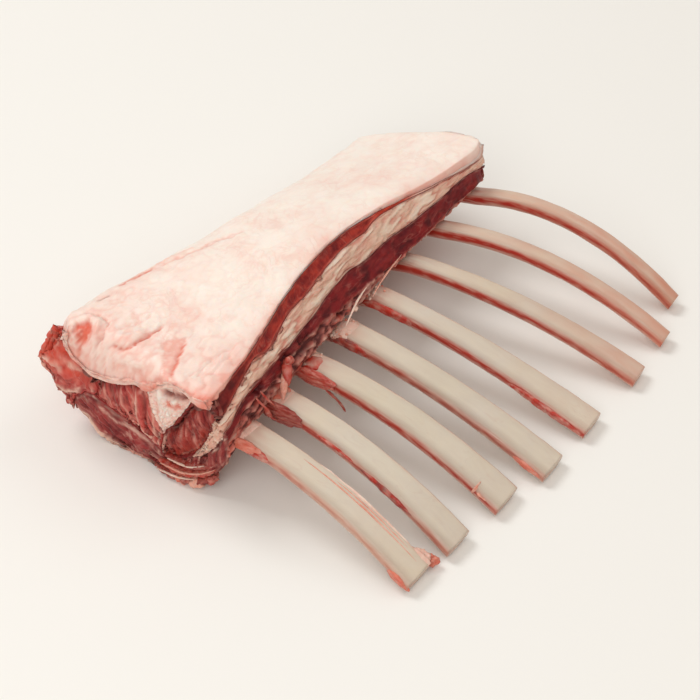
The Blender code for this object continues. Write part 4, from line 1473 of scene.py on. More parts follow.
def meat_layers() -> list[MeatLayer]:
    """All eight layers, with the marks that each one carries."""
    fat_marks = (
        # The torn red fold at the lobe's corner, its raised rim and the creases round it.
        Mark(Side.TOP, ((-91.5, 11.8), (-88, 13), (-85.5, 10), (-86.5, 7), (-90, 5.2), (-92.2, 7.5)),
             ((Tint.BLOOD, 0.85), (Tint.BLUSH, 1.0)), height=-1.2, width=1.6, closed=True, ragged=1.0, seed=301),
        Mark(Side.TOP, ((-93, 5), (-89, 3.4), (-84, 6), (-83, 11), (-87, 15)),
             ((Tint.BLUSH, 0.5),), height=1.3, width=1.3, ragged=0.8, seed=303, taper=0.3),
        Mark(Side.TOP, ((-94, 9), (-90.5, 9.5), (-88, 8), (-86, 9.6)),
             ((Tint.BLOOD, 0.95),), height=-0.7, width=0.5, ragged=0.8, seed=305),
        Mark(Side.TOP, ((-94, 2), (-88, 1.0), (-82, 3.5), (-80, 9), (-83, 15)),
             ((Tint.BLUSH, 0.75), (Tint.BLOOD, 0.2)), height=-1.0, width=0.55, ragged=0.9, seed=307),
        Mark(Side.TOP, ((-90, -1.6), (-89.8, -6), (-89, -10), (-84.3, -12.5), (-78.7, -13.7), (-71, -15)),
             ((Tint.BLUSH, 1.0), (Tint.BLOOD, 0.55)), height=-1.3, width=0.6, ragged=0.8, seed=309),
        Mark(Side.TOP, ((-87, -2), (-86, -7), (-81, -10.5), (-74, -11.5)),
             ((Tint.BLUSH, 0.35),), height=1.2, width=1.9, ragged=0.6, seed=311, taper=0.35),
        Mark(Side.TOP, ((-84, 0), (-80, -4), (-74, -7), (-69, -9)),
             ((Tint.BLUSH, 0.55),), height=-0.8, width=0.6, ragged=1.0, seed=313),
        Mark(Side.TOP, ((-92, 0), (-93, -6), (-93, -14), (-92, -22)),
             ((Tint.BLUSH, 0.45),), height=-0.7, width=0.9, ragged=1.0, seed=315),
        # The pink triangle and its red edge.
        Mark(Side.TOP, ((-80, -18.6), (-76, -21.5), (-72.3, -25.5), (-79.6, -27.8), (-86.4, -30), (-93, -32),
                        (-92, -28.5), (-84, -23.8)),
             ((Tint.BLUSH, 0.9),), height=-0.4, width=0.9, closed=True, ragged=0.8, seed=317),
        Mark(Side.TOP, ((-73, -26), (-79.6, -28), (-86.4, -30.3), (-93, -32.3)),
             ((Tint.BLOOD, 0.75), (Tint.BLUSH, 1.0)), height=-0.6, width=0.7, ragged=0.7, seed=319),
        # Pink streaks beside the spine side, and a nick.
        Mark(Side.TOP, ((-62, 15), (-56, 14), (-48, 12.3), (-42, 10.0)),
             ((Tint.BLUSH, 1.0), (Tint.BLOOD, 0.6)), height=-0.7, width=1.1, ragged=1.2, seed=321),
        Mark(Side.TOP, ((-50, 11), (-42.2, 8.6), (-33.9, 3.2), (-22, -1), (-8, -8)),
             ((Tint.BLUSH, 0.7), (Tint.BLOOD, 0.15)), height=-0.6, width=0.9, ragged=1.5, seed=323),
        Mark(Side.TOP, ((-46, 12), (-36, 7.5), (-26, 4)),
             ((Tint.BLUSH, 0.5),), height=0.8, width=1.4, ragged=1.2, seed=325),
        Mark(Side.TOP, ((-73.5, 15.2), (-67.5, 13.6)),
             ((Tint.DARK, 0.6), (Tint.BLUSH, 0.6)), height=-1.0, width=0.5, ragged=0.4, seed=327),
        # Creases towards the rib side, and the red corner.
        Mark(Side.TOP, ((-88, -40), (-80, -39), (-74, -39.5), (-67, -41.5)),
             ((Tint.BLUSH, 0.6),), height=-0.8, width=0.5, ragged=0.6, seed=329),
        Mark(Side.TOP, ((-84, -43.5), (-76, -42.5), (-69, -44)),
             ((Tint.BLUSH, 0.5),), height=-0.6, width=0.5, ragged=0.6, seed=331),
        Mark(Side.TOP, ((-94, -44), (-92.5, -48), (-90, -51)),
             ((Tint.BLUSH, 1.0), (Tint.BLOOD, 0.45)), height=0.5, width=2.4, ragged=0.8, seed=333, taper=0.0),
        Mark(Side.NEAR_CUT, ((0.02, 0.92), (0.06, 0.90)),
             ((Tint.BLUSH, 1.0), (Tint.BLOOD, 0.6)), height=0.8, width=2.4, in_shares=True, seed=335, taper=0.0),
        Mark(Side.NEAR_CUT, ((0.33, 0.88), (0.37, 0.81), (0.41, 0.80)),
             ((Tint.BLUSH, 1.0), (Tint.BLOOD, 0.5)), height=1.0, width=1.8, in_shares=True, seed=337, taper=0.0),
    )
    cap_marks = (
        Mark(Side.NEAR_CUT, ((0.13, 0.84), (0.22, 0.66), (0.31, 0.44)),
             ((Tint.DARK, 0.75),), height=-2.6, width=2.4, in_shares=True, ragged=0.6, seed=329, taper=0.0),
        Mark(Side.NEAR_CUT, ((0.16, 0.42), (0.25, 0.24), (0.36, 0.10)),
             ((Tint.BLOOD, 0.5), (Tint.DARK, 0.35)), width=4.0, in_shares=True, ragged=1.2, seed=331),
        Mark(Side.NEAR_CUT, ((0.10, 0.62), (0.15, 0.42), (0.19, 0.28)),
             ((Tint.BLOOD, 0.45), (Tint.DARK, 0.2)), width=1.6, in_shares=True, ragged=1.0, seed=333),
        Mark(Side.NEAR_CUT, ((0.34, 0.36), (0.375, 0.20), (0.39, 0.10)),
             ((Tint.PALE, 0.8),), height=0.4, width=0.6, in_shares=True, ragged=0.3, seed=335),
    )
    flap_marks = (
        # Painted shade, with some blood, in the hollow at the flap's top under the fat's hem.
        Mark(Side.NEAR_CUT, ((0.13, 0.88), (0.20, 0.86), (0.28, 0.83)),
             ((Tint.DARK, 0.75), (Tint.BLOOD, 0.4)), height=-2.0, width=1.6, in_shares=True, ragged=0.5, seed=371,
             taper=0.0),
        Mark(Side.NEAR_CUT, ((0.19, 0.77), (0.24, 0.74), (0.29, 0.75)),
             ((Tint.BLOOD, 0.7), (Tint.BLUSH, 1.0)), height=-0.5, width=1.7, in_shares=True, ragged=0.8, seed=373),
        Mark(Side.NEAR_CUT, ((0.20, 0.62), (0.26, 0.52), (0.32, 0.44)),
             ((Tint.BLUSH, 0.7),), height=-0.6, width=1.4, in_shares=True, ragged=0.6, seed=375),
        Mark(Side.NEAR_CUT, ((0.34, 0.72), (0.345, 0.58), (0.34, 0.46)),
             ((Tint.BLUSH, 0.9),), height=-0.6, width=1.1, in_shares=True, ragged=0.6, seed=377),
    )
    middle_marks = (
        Mark(Side.NEAR_CUT, ((0.49, 0.69), (0.47, 0.62), (0.48, 0.45), (0.48, 0.35), (0.44, 0.25), (0.38, 0.20)),
             ((Tint.PALE, 0.8),), height=0.5, width=0.55, in_shares=True, ragged=0.4, seed=341),
        Mark(Side.NEAR_CUT, ((0.40, 0.74), (0.39, 0.57), (0.40, 0.38), (0.37, 0.24)),
             ((Tint.PALE, 0.65),), height=0.4, width=0.5, in_shares=True, ragged=0.4, seed=343),
        Mark(Side.NEAR_CUT, ((0.445, 0.72), (0.43, 0.55), (0.44, 0.38), (0.40, 0.26)),
             ((Tint.DARK, 0.55),), height=-0.8, width=0.9, in_shares=True, ragged=0.4, seed=345),
        Mark(Side.NEAR_CUT, ((0.57, 0.62), (0.54, 0.45), (0.50, 0.31)),
             ((Tint.PALE, 0.4),), height=0.4, width=0.6, in_shares=True, ragged=0.5, seed=347),
        Mark(Side.NEAR_CUT, ((0.62, 0.60), (0.60, 0.48), (0.56, 0.34)),
             ((Tint.DARK, 0.6),), height=-0.6, width=1.1, in_shares=True, ragged=0.5, seed=349),
    )
    eye_marks = (
        Mark(Side.NEAR_CUT, ((0.89, 0.02), (0.80, 0.035), (0.70, 0.03), (0.60, 0.02)),
             ((Tint.PALE, 1.0),), height=0.7, width=1.7, in_shares=True, ragged=0.5, seed=351),
        Mark(Side.NEAR_CUT, ((0.62, 0.015), (0.52, 0.01), (0.44, 0.01)),
             ((Tint.BLUSH, 1.0), (Tint.PALE, 0.4)), height=0.4, width=1.3, in_shares=True, ragged=0.5, seed=353),
        Mark(Side.NEAR_CUT, ((0.72, 0.36), (0.62, 0.27), (0.52, 0.26), (0.42, 0.17)),
             ((Tint.PALE, 0.6),), height=0.4, width=0.6, in_shares=True, ragged=0.6, seed=355),
    )
    rib_marks = (
        # The first four are pits cut into the rib side and filled with painted shade; the last is a pale line.
        Mark(Side.RIB_SIDE, ((-74, 41), (-70, 38), (-64, 36)),
             ((Tint.DARK, 1.0),), height=-3.0, width=1.5, ragged=0.6, seed=381),
        Mark(Side.RIB_SIDE, ((-50, 38), (-46, 36)),
             ((Tint.DARK, 1.0),), height=-2.5, width=1.3, ragged=0.6, seed=383, taper=0.0),
        Mark(Side.RIB_SIDE, ((-40, 38), (-35, 36), (-31, 36.5)),
             ((Tint.DARK, 0.9),), height=-2.0, width=1.0, ragged=0.8, seed=385),
        Mark(Side.RIB_SIDE, ((-14, 33), (-9, 31)),
             ((Tint.DARK, 0.9),), height=-2.0, width=1.0, ragged=0.6, seed=387, taper=0.0),
        Mark(Side.RIB_SIDE, ((-78, 44), (-70, 42), (-58, 41)),
             ((Tint.PALE, 0.8),), height=0.6, width=0.6, ragged=1.0, seed=391),
    )
    edge_marks = (
        Mark(Side.NEAR_CUT, ((1.02, 0.60), (0.94, 0.52), (0.86, 0.53), (0.76, 0.60)),
             ((Tint.PALE, 0.85),), height=0.5, width=1.5, in_shares=True, ragged=1.0, seed=361),
        Mark(Side.NEAR_CUT, ((0.98, 0.10), (0.90, 0.14), (0.84, 0.22), (0.80, 0.32)),
             ((Tint.PALE, 0.9),), height=0.5, width=1.3, in_shares=True, ragged=0.9, seed=363),
        Mark(Side.NEAR_CUT, ((1.02, 0.82), (0.97, 0.70), (0.90, 0.66)),
             ((Tint.BLOOD, 0.8),), width=3.0, in_shares=True, ragged=1.0, seed=365, taper=0.0),
    )
    return [
        FatCap(
            "fat_cap",
            (stretches("fat_over_cap", "fat_over_flap", "fat_over_middle", "fat_over_edge"),
             stretches("spine_fat|spine_top"), stretches("spine_top|rib_top"),
             stretches("rib_top|face_fat")),
            FAT_FINISH, Slot.FAT_CAP, steps=(128, 18), stations=236, setback=(0.0, 0.0),
            bulge=0.9, bulge_width=0.9, edge_round=1.1, end_round=1.5, under_round=1.0, marks=fat_marks),
        CapMuscle(
            "cap_muscle",
            (stretches("cap_over_seam", "cap_over_rib"), stretches("cap_beside_eye"),
             stretches("cap_beside_middle", "cap_beside_flap", "-fat_over_cap"),
             stretches("face_fat|face_cap")),
            LEAN_FINISH, Slot.LEAN, steps=(110, 24), stations=260, setback=(2.6, 4.0), marks=cap_marks,
            grain_lean=-0.25, bundle=2.2),
        SeamFat(
            "seam_fat",
            ((Stretch("seam_over_rib", 0.0, 0.93),),
             (Stretch("seam_over_rib", 0.93, 1.0), Stretch("-cap_over_seam", 0.0, 0.07)),
             (Stretch("-cap_over_seam", 0.07, 1.0),),
             stretches("face_cap|face_seam")),
            SEAM_FINISH, Slot.SEAM_FAT, steps=(40, 22), stations=300, setback=(1.2, 2.4),
            edge_round=0.9, end_round=0.5),
        RibMuscle(
            "rib_muscle",
            (stretches("rib_low|under_rib_eye"), stretches("eye_beside_rib"),
             stretches("-cap_over_rib", "-seam_over_rib"), stretches("face_seam|rib_low")),
            STRIP_FINISH, Slot.LEAN, steps=(56, 52), stations=340, setback=(2.0, 4.5), marks=rib_marks),
        SeamFat(
            "fat_flap",
            ((Stretch("-cap_beside_flap", 0.93, 1.0), Stretch("middle_beside_flap", 0.0, 0.07)),
             (Stretch("middle_beside_flap", 0.07, 1.0),),
             stretches("-fat_over_flap"),
             (Stretch("-cap_beside_flap", 0.0, 0.93),)),
            FAT_FINISH, Slot.SEAM_FAT, steps=(48, 64), stations=40, setback=(0.6, 1.8), bulge=2.0,
            bulge_width=2.2, marks=flap_marks),
        Lean(
            "middle_muscle",
            (stretches("middle_over_eye"), stretches("middle_beside_edge"),
             stretches("-fat_over_middle"), stretches("-middle_beside_flap", "-cap_beside_middle")),
            STRIPED_FINISH, Slot.LEAN, steps=(96, 80), stations=40, setback=(2.2, 1.8), bulge=1.4,
            marks=middle_marks, grain_lean=-0.35, bundle=2.6),
        EyeMuscle(
            "eye_muscle",
            (stretches("under_rib_eye|under_eye_edge"), stretches("eye_beside_edge"),
             stretches("-middle_over_eye"), stretches("-cap_beside_eye", "-eye_beside_rib")),
            DARK_FINISH, Slot.DARK_LEAN, steps=(110, 48), stations=200, setback=(1.5, 3.0), bulge=1.6,
            marks=eye_marks, grain_lean=-1.0, bundle=3.2),
        EdgeMuscle(
            "edge_muscle",
            (stretches("under_eye_edge|spine_low"), stretches("spine_low|spine_fat"),
             stretches("-fat_over_edge"), stretches("-middle_beside_edge", "-eye_beside_edge")),
            STRIPED_FINISH, Slot.DARK_LEAN, steps=(40, 56), stations=230, setback=(1.0, 3.0), bulge=1.6,
            edge_round=1.2, end_round=1.2, marks=edge_marks, grain_lean=1.1, bundle=3.0, hem_depth=1.0),
    ]


# --- ribs and what clings to them -----------------------------------------------------

NEAR_SIDE, TOP_SIDE, FAR_SIDE = 0.0, math.pi / 2, math.pi


@dataclass(frozen=True)
class Rib:
    """One bare rib: a flattened bar along an arch, with blood along its near side."""

    exit_x: float
    lean: float
    tip_y: float
    arch: float
    root_width: float
    tip_width: float
    near_blood: tuple[float, float, float]
    # Darkening of the near side's blood line, partly its own colour and partly painted shade, and strength of the
    # painted shade above it.
    near_dark_blood_and_shade: tuple[float, float, float]
    blush: tuple[float, float, float]
    shade: tuple[float, float, float]
    squareness: tuple[float, float] = (0.55, 0.66)

    EXIT_Y = -56.0
    HEAD_Y = 9.5
    INSIDE = ((-56, 23.8), (-44, 20.8), (-29, 14.9), (-14, 7.8), (-4, 3.8), (10, 3.55))
    HEAD_WIDTH = 8.5
    THICKNESS = (6.6, 5.6)
    LIFT = 0.25
    RINGS = (24, 118)
    SIDES = 44

    @property
    def length(self) -> float:
        """Length along Y of the bare part."""
        return self.EXIT_Y - self.tip_y

    def size(self, out: Array) -> tuple[Array, Array, Array]:
        """Centre line, width and thickness at a distance out of the meat.

        Inside the meat the centre follows its own curve; outside it runs straight from
        the exit to the tip, raised by a parabola.

        Args:
            out: Distance along minus Y from where the rib leaves the meat.

        Returns:
            Centre places, widths and thicknesses.
        """
        u = np.clip(out / self.length, 0.0, 1.0)
        y = self.EXIT_Y - out
        exit_z = float(smooth_curve(self.INSIDE)(np.array(self.EXIT_Y)))
        tip_z = self.LIFT + self.THICKNESS[1] / 2
        z = np.where(out < 0, smooth_curve(self.INSIDE)(y),
                     exit_z + (tip_z - exit_z) * u + 4 * self.arch * u * (1 - u))
        inside = np.clip(-out / (self.HEAD_Y - self.EXIT_Y), 0.0, 1.0)
        width = self.root_width + (self.tip_width - self.root_width) * u
        width = width + (self.HEAD_WIDTH - self.root_width) * inside
        thick = self.THICKNESS[0] + (self.THICKNESS[1] - self.THICKNESS[0]) * u
        return np.stack([self.exit_x + self.lean * u, y, z], axis=-1), width, thick

    def surface(self, out: Array, angle: Array, lift: Array) -> Array:
        """Places on the rib, or lifted off it.

        The cross section is a squared ellipse: cosine and sine raised to a power below
        one.  Angle 0 is the near side, a quarter turn is the top.

        Args:
            out: Distance out of the meat.
            angle: Angle round the rib.
            lift: Distance off the surface.

        Returns:
            Array of places.
        """
        centre, width, thick = self.size(out)
        step = 0.5
        run = self.size(out + step)[0] - self.size(out - step)[0]
        run /= np.linalg.norm(run, axis=-1, keepdims=True)
        across = np.cross(run, [0.0, 0.0, 1.0])
        across /= np.linalg.norm(across, axis=-1, keepdims=True)
        upward = np.cross(across, run)
        wide_power, tall_power = self.squareness
        wide = np.sign(np.cos(angle)) * np.abs(np.cos(angle)) ** wide_power * (width / 2 + lift)
        tall = np.sign(np.sin(angle)) * np.abs(np.sin(angle)) ** tall_power * (thick / 2 + lift)
        return centre + across * wide[..., None] + upward * tall[..., None]

    def build(self, name: str, material: bpy.types.Material) -> bpy.types.Object:
        """Build the rib as rings along its path, with a sawn tip.

        Args:
            name: Name of the CAD node that it stands for.
            material: The bone's material.

        Returns:
            The piece.
        """
        inside = np.linspace(self.EXIT_Y - self.HEAD_Y, 0.0, self.RINGS[0], endpoint=False)
        out = np.concatenate([inside, np.linspace(0.0, self.length, self.RINGS[1])])
        shrink = np.ones(len(out))
        rim = np.array([0.97, 0.9, 0.72, 0.4])
        out = np.concatenate([np.full(3, out[0]), out, np.full(len(rim), self.length)])
        shrink = np.concatenate([[0.5, 0.8, 0.94], shrink, rim])
        angle = np.linspace(0, 2 * np.pi, self.SIDES, endpoint=False)
        out_grid, angle_grid = np.meshgrid(out, angle, indexing="ij")
        seeded = np.stack([out_grid * 0.35, np.cos(angle_grid) * 4, np.sin(angle_grid) * 4], axis=-1)
        seeded = seeded.reshape(-1, 3) + self.exit_x
        shape = out_grid.shape
        uneven = layered_noise(seeded, (5.0, 3.0, 3.0), 401).reshape(shape)
        fine = layered_noise(seeded, (2.0, 0.7, 0.7), 411, 2).reshape(shape)
        ridge = bump(angle_grid - 0.95, 0.16) + bump(angle_grid - 2.35, 0.16)
        lift = -0.25 + 0.22 * uneven + 0.07 * fine + 0.22 * ridge
        rings = self.surface(out_grid, angle_grid, lift)
        centre = self.size(out)[0][:, None]
        rings = centre + (rings - centre) * shrink[:, None, None]
        cut = np.concatenate([np.zeros(len(out) - len(rim)), 0.12 * (1 - rim)])
        rings[..., 1] += cut[:, None] * (1 + uneven)
        rings[..., 2] = np.maximum(rings[..., 2], 0.03)
        solid = closed_tube(rings)
        solid.tints = {kind: np.append(values.ravel(), [0.0, 0.0])
                       for kind, values in self._tints(out_grid, angle_grid, uneven, fine).items()}
        return make_piece(name, solid, material, Slot.BONE, [name])

    def _tints(self, out: Array, angle: Array, uneven: Array, fine: Array) -> dict[Tint, Array]:
        """Tints of the bone by its height and width shares round the section.

        The near side carries a line of blood, darker in places by its own colour and by painted shade, a painted
        shade above it and a light line below it; the far edge carries a pink line.  Strengths run from root to tip by
        share.

        Args:
            out: Distance out of the meat.
            angle: Angle round the rib.
            uneven: Broad noise.
            fine: Fine noise.

        Returns:
            The tints, shaped like the arguments.
        """
        u = np.clip(out / self.length, 0.0, 1.0)
        places = np.array([0.0, 0.5, 1.0])
        blood, dark, blush, shade = (np.interp(u, places, values) for values in (
            self.near_blood, self.near_dark_blood_and_shade, self.blush, self.shade))
        high = np.sign(np.sin(angle)) * np.abs(np.sin(angle)) ** self.squareness[1] + 0.15 * uneven
        wide = np.sign(np.cos(angle)) * np.abs(np.cos(angle)) ** self.squareness[0]
        near = eased((wide - 0.74) / 0.14)
        line = bump(high - 0.18, 0.5) * near * np.clip(1 + 0.8 * fine, 0, 1.3)
        # Painted shade on the near half of the top, above the blood line.
        above = eased((high - 0.5) / 0.4) * eased((wide - 0.3) / 0.6)
        below = bump(high + 0.62, 0.22) * near
        far_line = bump(wide + 0.93 + 0.08 * uneven, 0.12) * eased(high / 0.4)
        root = np.exp(-np.maximum(out, 0.0) / 5.0)
        under = eased((-high - 0.75) / 0.2)
        return {
            Tint.BLOOD: 1.25 * line * blood + 0.4 * below * blood + 0.25 * root * (0.5 + 2 * fine),
            # Dark: the blood line darkened by its own colour and painted shade, the painted shade above it, and the
            # rib's own tone.
            Tint.DARK: line * dark * 0.4 + 0.3 * above * (0.5 + dark) + shade * (0.8 + 0.8 * uneven),
            Tint.PALE: 0.5 * below + 0.25 * root,
            Tint.BLUSH: (blush * (1 + 0.8 * uneven) + 0.5 * line + 0.5 * below + 0.5 * far_line * (1 + fine)
                         + 0.6 * root * (0.6 + uneven) + 0.3 * under),
        }


ROUNDER = (0.72, 0.8)


def all_ribs() -> list[Rib]:
    """The eight ribs, near to far."""
    return [
        Rib(-78.5, -9.9, -133.9, 5.5, 12.0, 13.5, (0.6, 0.25, 0.2), (0.3, 0.4, 0.3), (0.1, 0.02, 0.1),
            (0.02, 0.03, 0.08)),
        Rib(-57.4, -9.6, -137.7, 6.0, 11.5, 14.0, (0.9, 0.6, 0.4), (0.5, 0.6, 0.4), (0.05, 0.0, 0.05),
            (0.02, 0.03, 0.12)),
        Rib(-35.4, -4.2, -142.1, 6.0, 12.0, 15.5, (1.0, 0.85, 0.7), (0.5, 0.5, 0.3), (0.05, 0.0, 0.05),
            (0.05, 0.10, 0.08)),
        Rib(-12.4, -3.4, -148.4, 4.0, 12.0, 15.0, (0.8, 0.6, 0.5), (0.8, 0.8, 0.5), (0.04, 0.0, 0.05),
            (0.05, 0.10, 0.10)),
        Rib(11.6, 0.8, -150.2, 3.5, 10.5, 14.5, (1.0, 0.95, 0.8), (0.6, 0.4, 0.2), (0.04, 0.03, 0.15),
            (0.05, 0.10, 0.08)),
        Rib(36.6, 10.0, -153.1, 5.5, 9.0, 11.5, (1.0, 0.85, 0.5), (0.4, 0.3, 0.4), (0.05, 0.12, 0.5),
            (0.05, 0.12, 0.10), (0.62, 0.72)),
        Rib(62.6, 9.3, -152.3, 9.5, 8.5, 9.0, (0.9, 0.8, 0.4), (0.3, 0.2, 0.2), (0.15, 0.4, 0.6),
            (0.05, 0.10, 0.06), ROUNDER),
        Rib(89.5, 4.9, -145.2, 12.5, 8.0, 8.5, (0.8, 0.7, 0.5), (0.2, 0.3, 0.4), (0.2, 0.5, 0.7),
            (0.03, 0.10, 0.12), ROUNDER),
    ]


@dataclass(frozen=True)
class Patch:
    """Flesh or skin that clings to a rib: a thin lens over a stretch of its surface."""

    rib: int
    out: tuple[float, float]
    angle: tuple[float, float]
    height: float
    tints: tuple[tuple[Tint, float], ...]
    ragged: float = 0.35
    grain: float = 2.0
    seed: int = 501
    steps: tuple[int, int] = (36, 16)

    SINK = 0.6

    def solid(self, ribs: Sequence[Rib]) -> Solid:
        """Build the lens: its outer face swells from its edges, its inner face lies sunk.

        Args:
            ribs: All the ribs.

        Returns:
            Closed solid with its tints.
        """
        rib = ribs[self.rib - 1]
        p = np.linspace(0.02, 0.98, self.steps[0])
        q = np.linspace(0.0, 1.0, self.steps[1])
        p_grid, q_grid = np.meshgrid(p, q, indexing="ij")
        out = self.out[0] + (self.out[1] - self.out[0]) * p_grid
        key = np.stack([out, np.full_like(out, self.seed), np.zeros_like(out)], axis=-1).reshape(-1, 3)
        shake = [layered_noise(key, 3.0, self.seed + k, 2).reshape(out.shape) for k in (0, 7)]
        narrow = np.sqrt(np.sin(np.pi * p_grid))
        middle = (self.angle[0] + self.angle[1]) / 2
        half = (self.angle[1] - self.angle[0]) / 2 * narrow
        angle = middle + (2 * q_grid - 1) * half * (1 + self.ragged * shake[0])
        out = out + self.ragged * shake[1] * 2.0
        swell = narrow * np.sqrt(np.clip(np.sin(np.pi * q_grid), 0, 1))
        drawn = np.stack([out / 4, angle * 3.5, np.zeros_like(out)], axis=-1).reshape(-1, 3)
        grain = layered_noise(drawn, self.grain, self.seed + 3).reshape(out.shape)
        lift = -self.SINK + (self.height + self.SINK) * swell * (1 + 0.5 * grain)
        outer = rib.surface(out, angle, lift)
        inner = rib.surface(out, angle, np.full_like(out, -self.SINK - 0.3))[:, ::-1]
        rings = np.concatenate([outer, inner], axis=1)
        rings[..., 2] = np.maximum(rings[..., 2], 0.03)
        solid = closed_tube(rings)
        count = rings.shape[0] * rings.shape[1]
        both = np.concatenate([grain, grain[:, ::-1]], axis=1).reshape(count)
        patchy = np.append(0.75 + 0.9 * both, [1.0, 1.0])
        clouds = layered_noise(solid.places, 2.5, self.seed + 5, 2)
        solid.tints = {kind: share * (patchy + (0.7 if kind is Tint.BLOOD else -0.5) * clouds)
                       for kind, share in self.tints}
        return solid


@dataclass(frozen=True)
class Strand:
    """A torn strand: a tapered, flattened cord carried along a smooth path."""

    points: Points
    width: float
    tints: tuple[tuple[Tint, float], ...]
    flatness: float = 0.55
    seed: int = 601
    steps: int = 26
    sides: int = 10

    def solid(self) -> Solid:
        """Carry an uneven ellipse along the path, thin at both ends.

        Returns:
            Closed solid with its tints.
        """
        path = smooth_path(self.points, self.steps)
        run = np.gradient(path, axis=0)
        run /= np.linalg.norm(run, axis=1, keepdims=True) + 1e-9
        across = np.cross(run, [0.0, 0.3, 1.0])
        across /= np.linalg.norm(across, axis=1, keepdims=True) + 1e-9
        upward = np.cross(across, run)
        s = np.linspace(0.0, 1.0, self.steps)
        uneven = 1 + 0.4 * layered_noise(path, 2.5, self.seed)
        radius = self.width / 2 * (0.12 + 0.88 * np.sin(np.pi * (0.06 + 0.88 * s)) ** 0.7) * uneven
        angle = np.linspace(0, 2 * np.pi, self.sides, endpoint=False)
        sideways = across[:, None] * (np.cos(angle)[None, :, None] * radius[:, None, None])
        upwards = upward[:, None] * (np.sin(angle)[None, :, None] * radius[:, None, None] * self.flatness)
        rings = path[:, None] + sideways + upwards
        rings += (0.18 * self.width * layered_noise(rings.reshape(-1, 3), 1.3, self.seed + 5, 2)
                  ).reshape(rings.shape[:2])[..., None] * upward[:, None]
        rings[..., 2] = np.maximum(rings[..., 2], 0.03)
        solid = closed_tube(rings)
        patchy = 0.8 + 0.5 * layered_noise(solid.places, 2.2, self.seed + 9, 2)
        solid.tints = {kind: share * patchy for kind, share in self.tints}
        return solid


@dataclass(frozen=True)
class Lump:
    """A lump of fat or flesh: an ellipsoid pushed in and out by noise."""

    centre: tuple[float, float, float]
    radii: tuple[float, float, float]
    tints: tuple[tuple[Tint, float], ...]
    rough: float = 0.35
    grain: float | tuple[float, float, float] = 3.0
    seed: int = 701
    steps: tuple[int, int] = (22, 32)

    def solid(self) -> Solid:
        """Take a globe's rings of latitude, and scale each place by one plus noise.

        Returns:
            Closed solid with its tints.
        """
        rows, sides = self.steps
        latitude = np.linspace(0.06, np.pi - 0.06, rows)[:, None]
        turn = np.linspace(0, 2 * np.pi, sides, endpoint=False)[None]
        globe = np.stack([np.sin(latitude) * np.cos(turn), np.sin(latitude) * np.sin(turn),
                          np.cos(latitude) * np.ones_like(turn)], axis=-1)
        places = globe * np.array(self.radii)
        shake = layered_noise(places.reshape(-1, 3) + np.array(self.centre), self.grain, self.seed)
        rings = np.array(self.centre) + places * (1 + self.rough * shake.reshape(rows, sides))[..., None]
        rings[..., 2] = np.maximum(rings[..., 2], 0.03)
        solid = closed_tube(rings)
        patchy = 0.8 + 0.6 * layered_noise(solid.places, np.array(self.grain) / 1.5, self.seed + 4, 2)
        solid.tints = {kind: share * patchy for kind, share in self.tints}
        return solid


RED = ((Tint.BLOOD, 0.95), (Tint.DARK, 0.25))
DEEP_RED = ((Tint.BLOOD, 0.95), (Tint.DARK, 0.6))
PINK = ((Tint.BLUSH, 0.6),)
CREAM = ((Tint.PALE, 0.6), (Tint.BLUSH, 0.2))
ORANGE = ((Tint.BLUSH, 1.0), (Tint.BLOOD, 0.45))
ROOT_SKIN = ((Tint.PALE, 0.55), (Tint.BLUSH, 0.35), (Tint.BLOOD, 0.12))


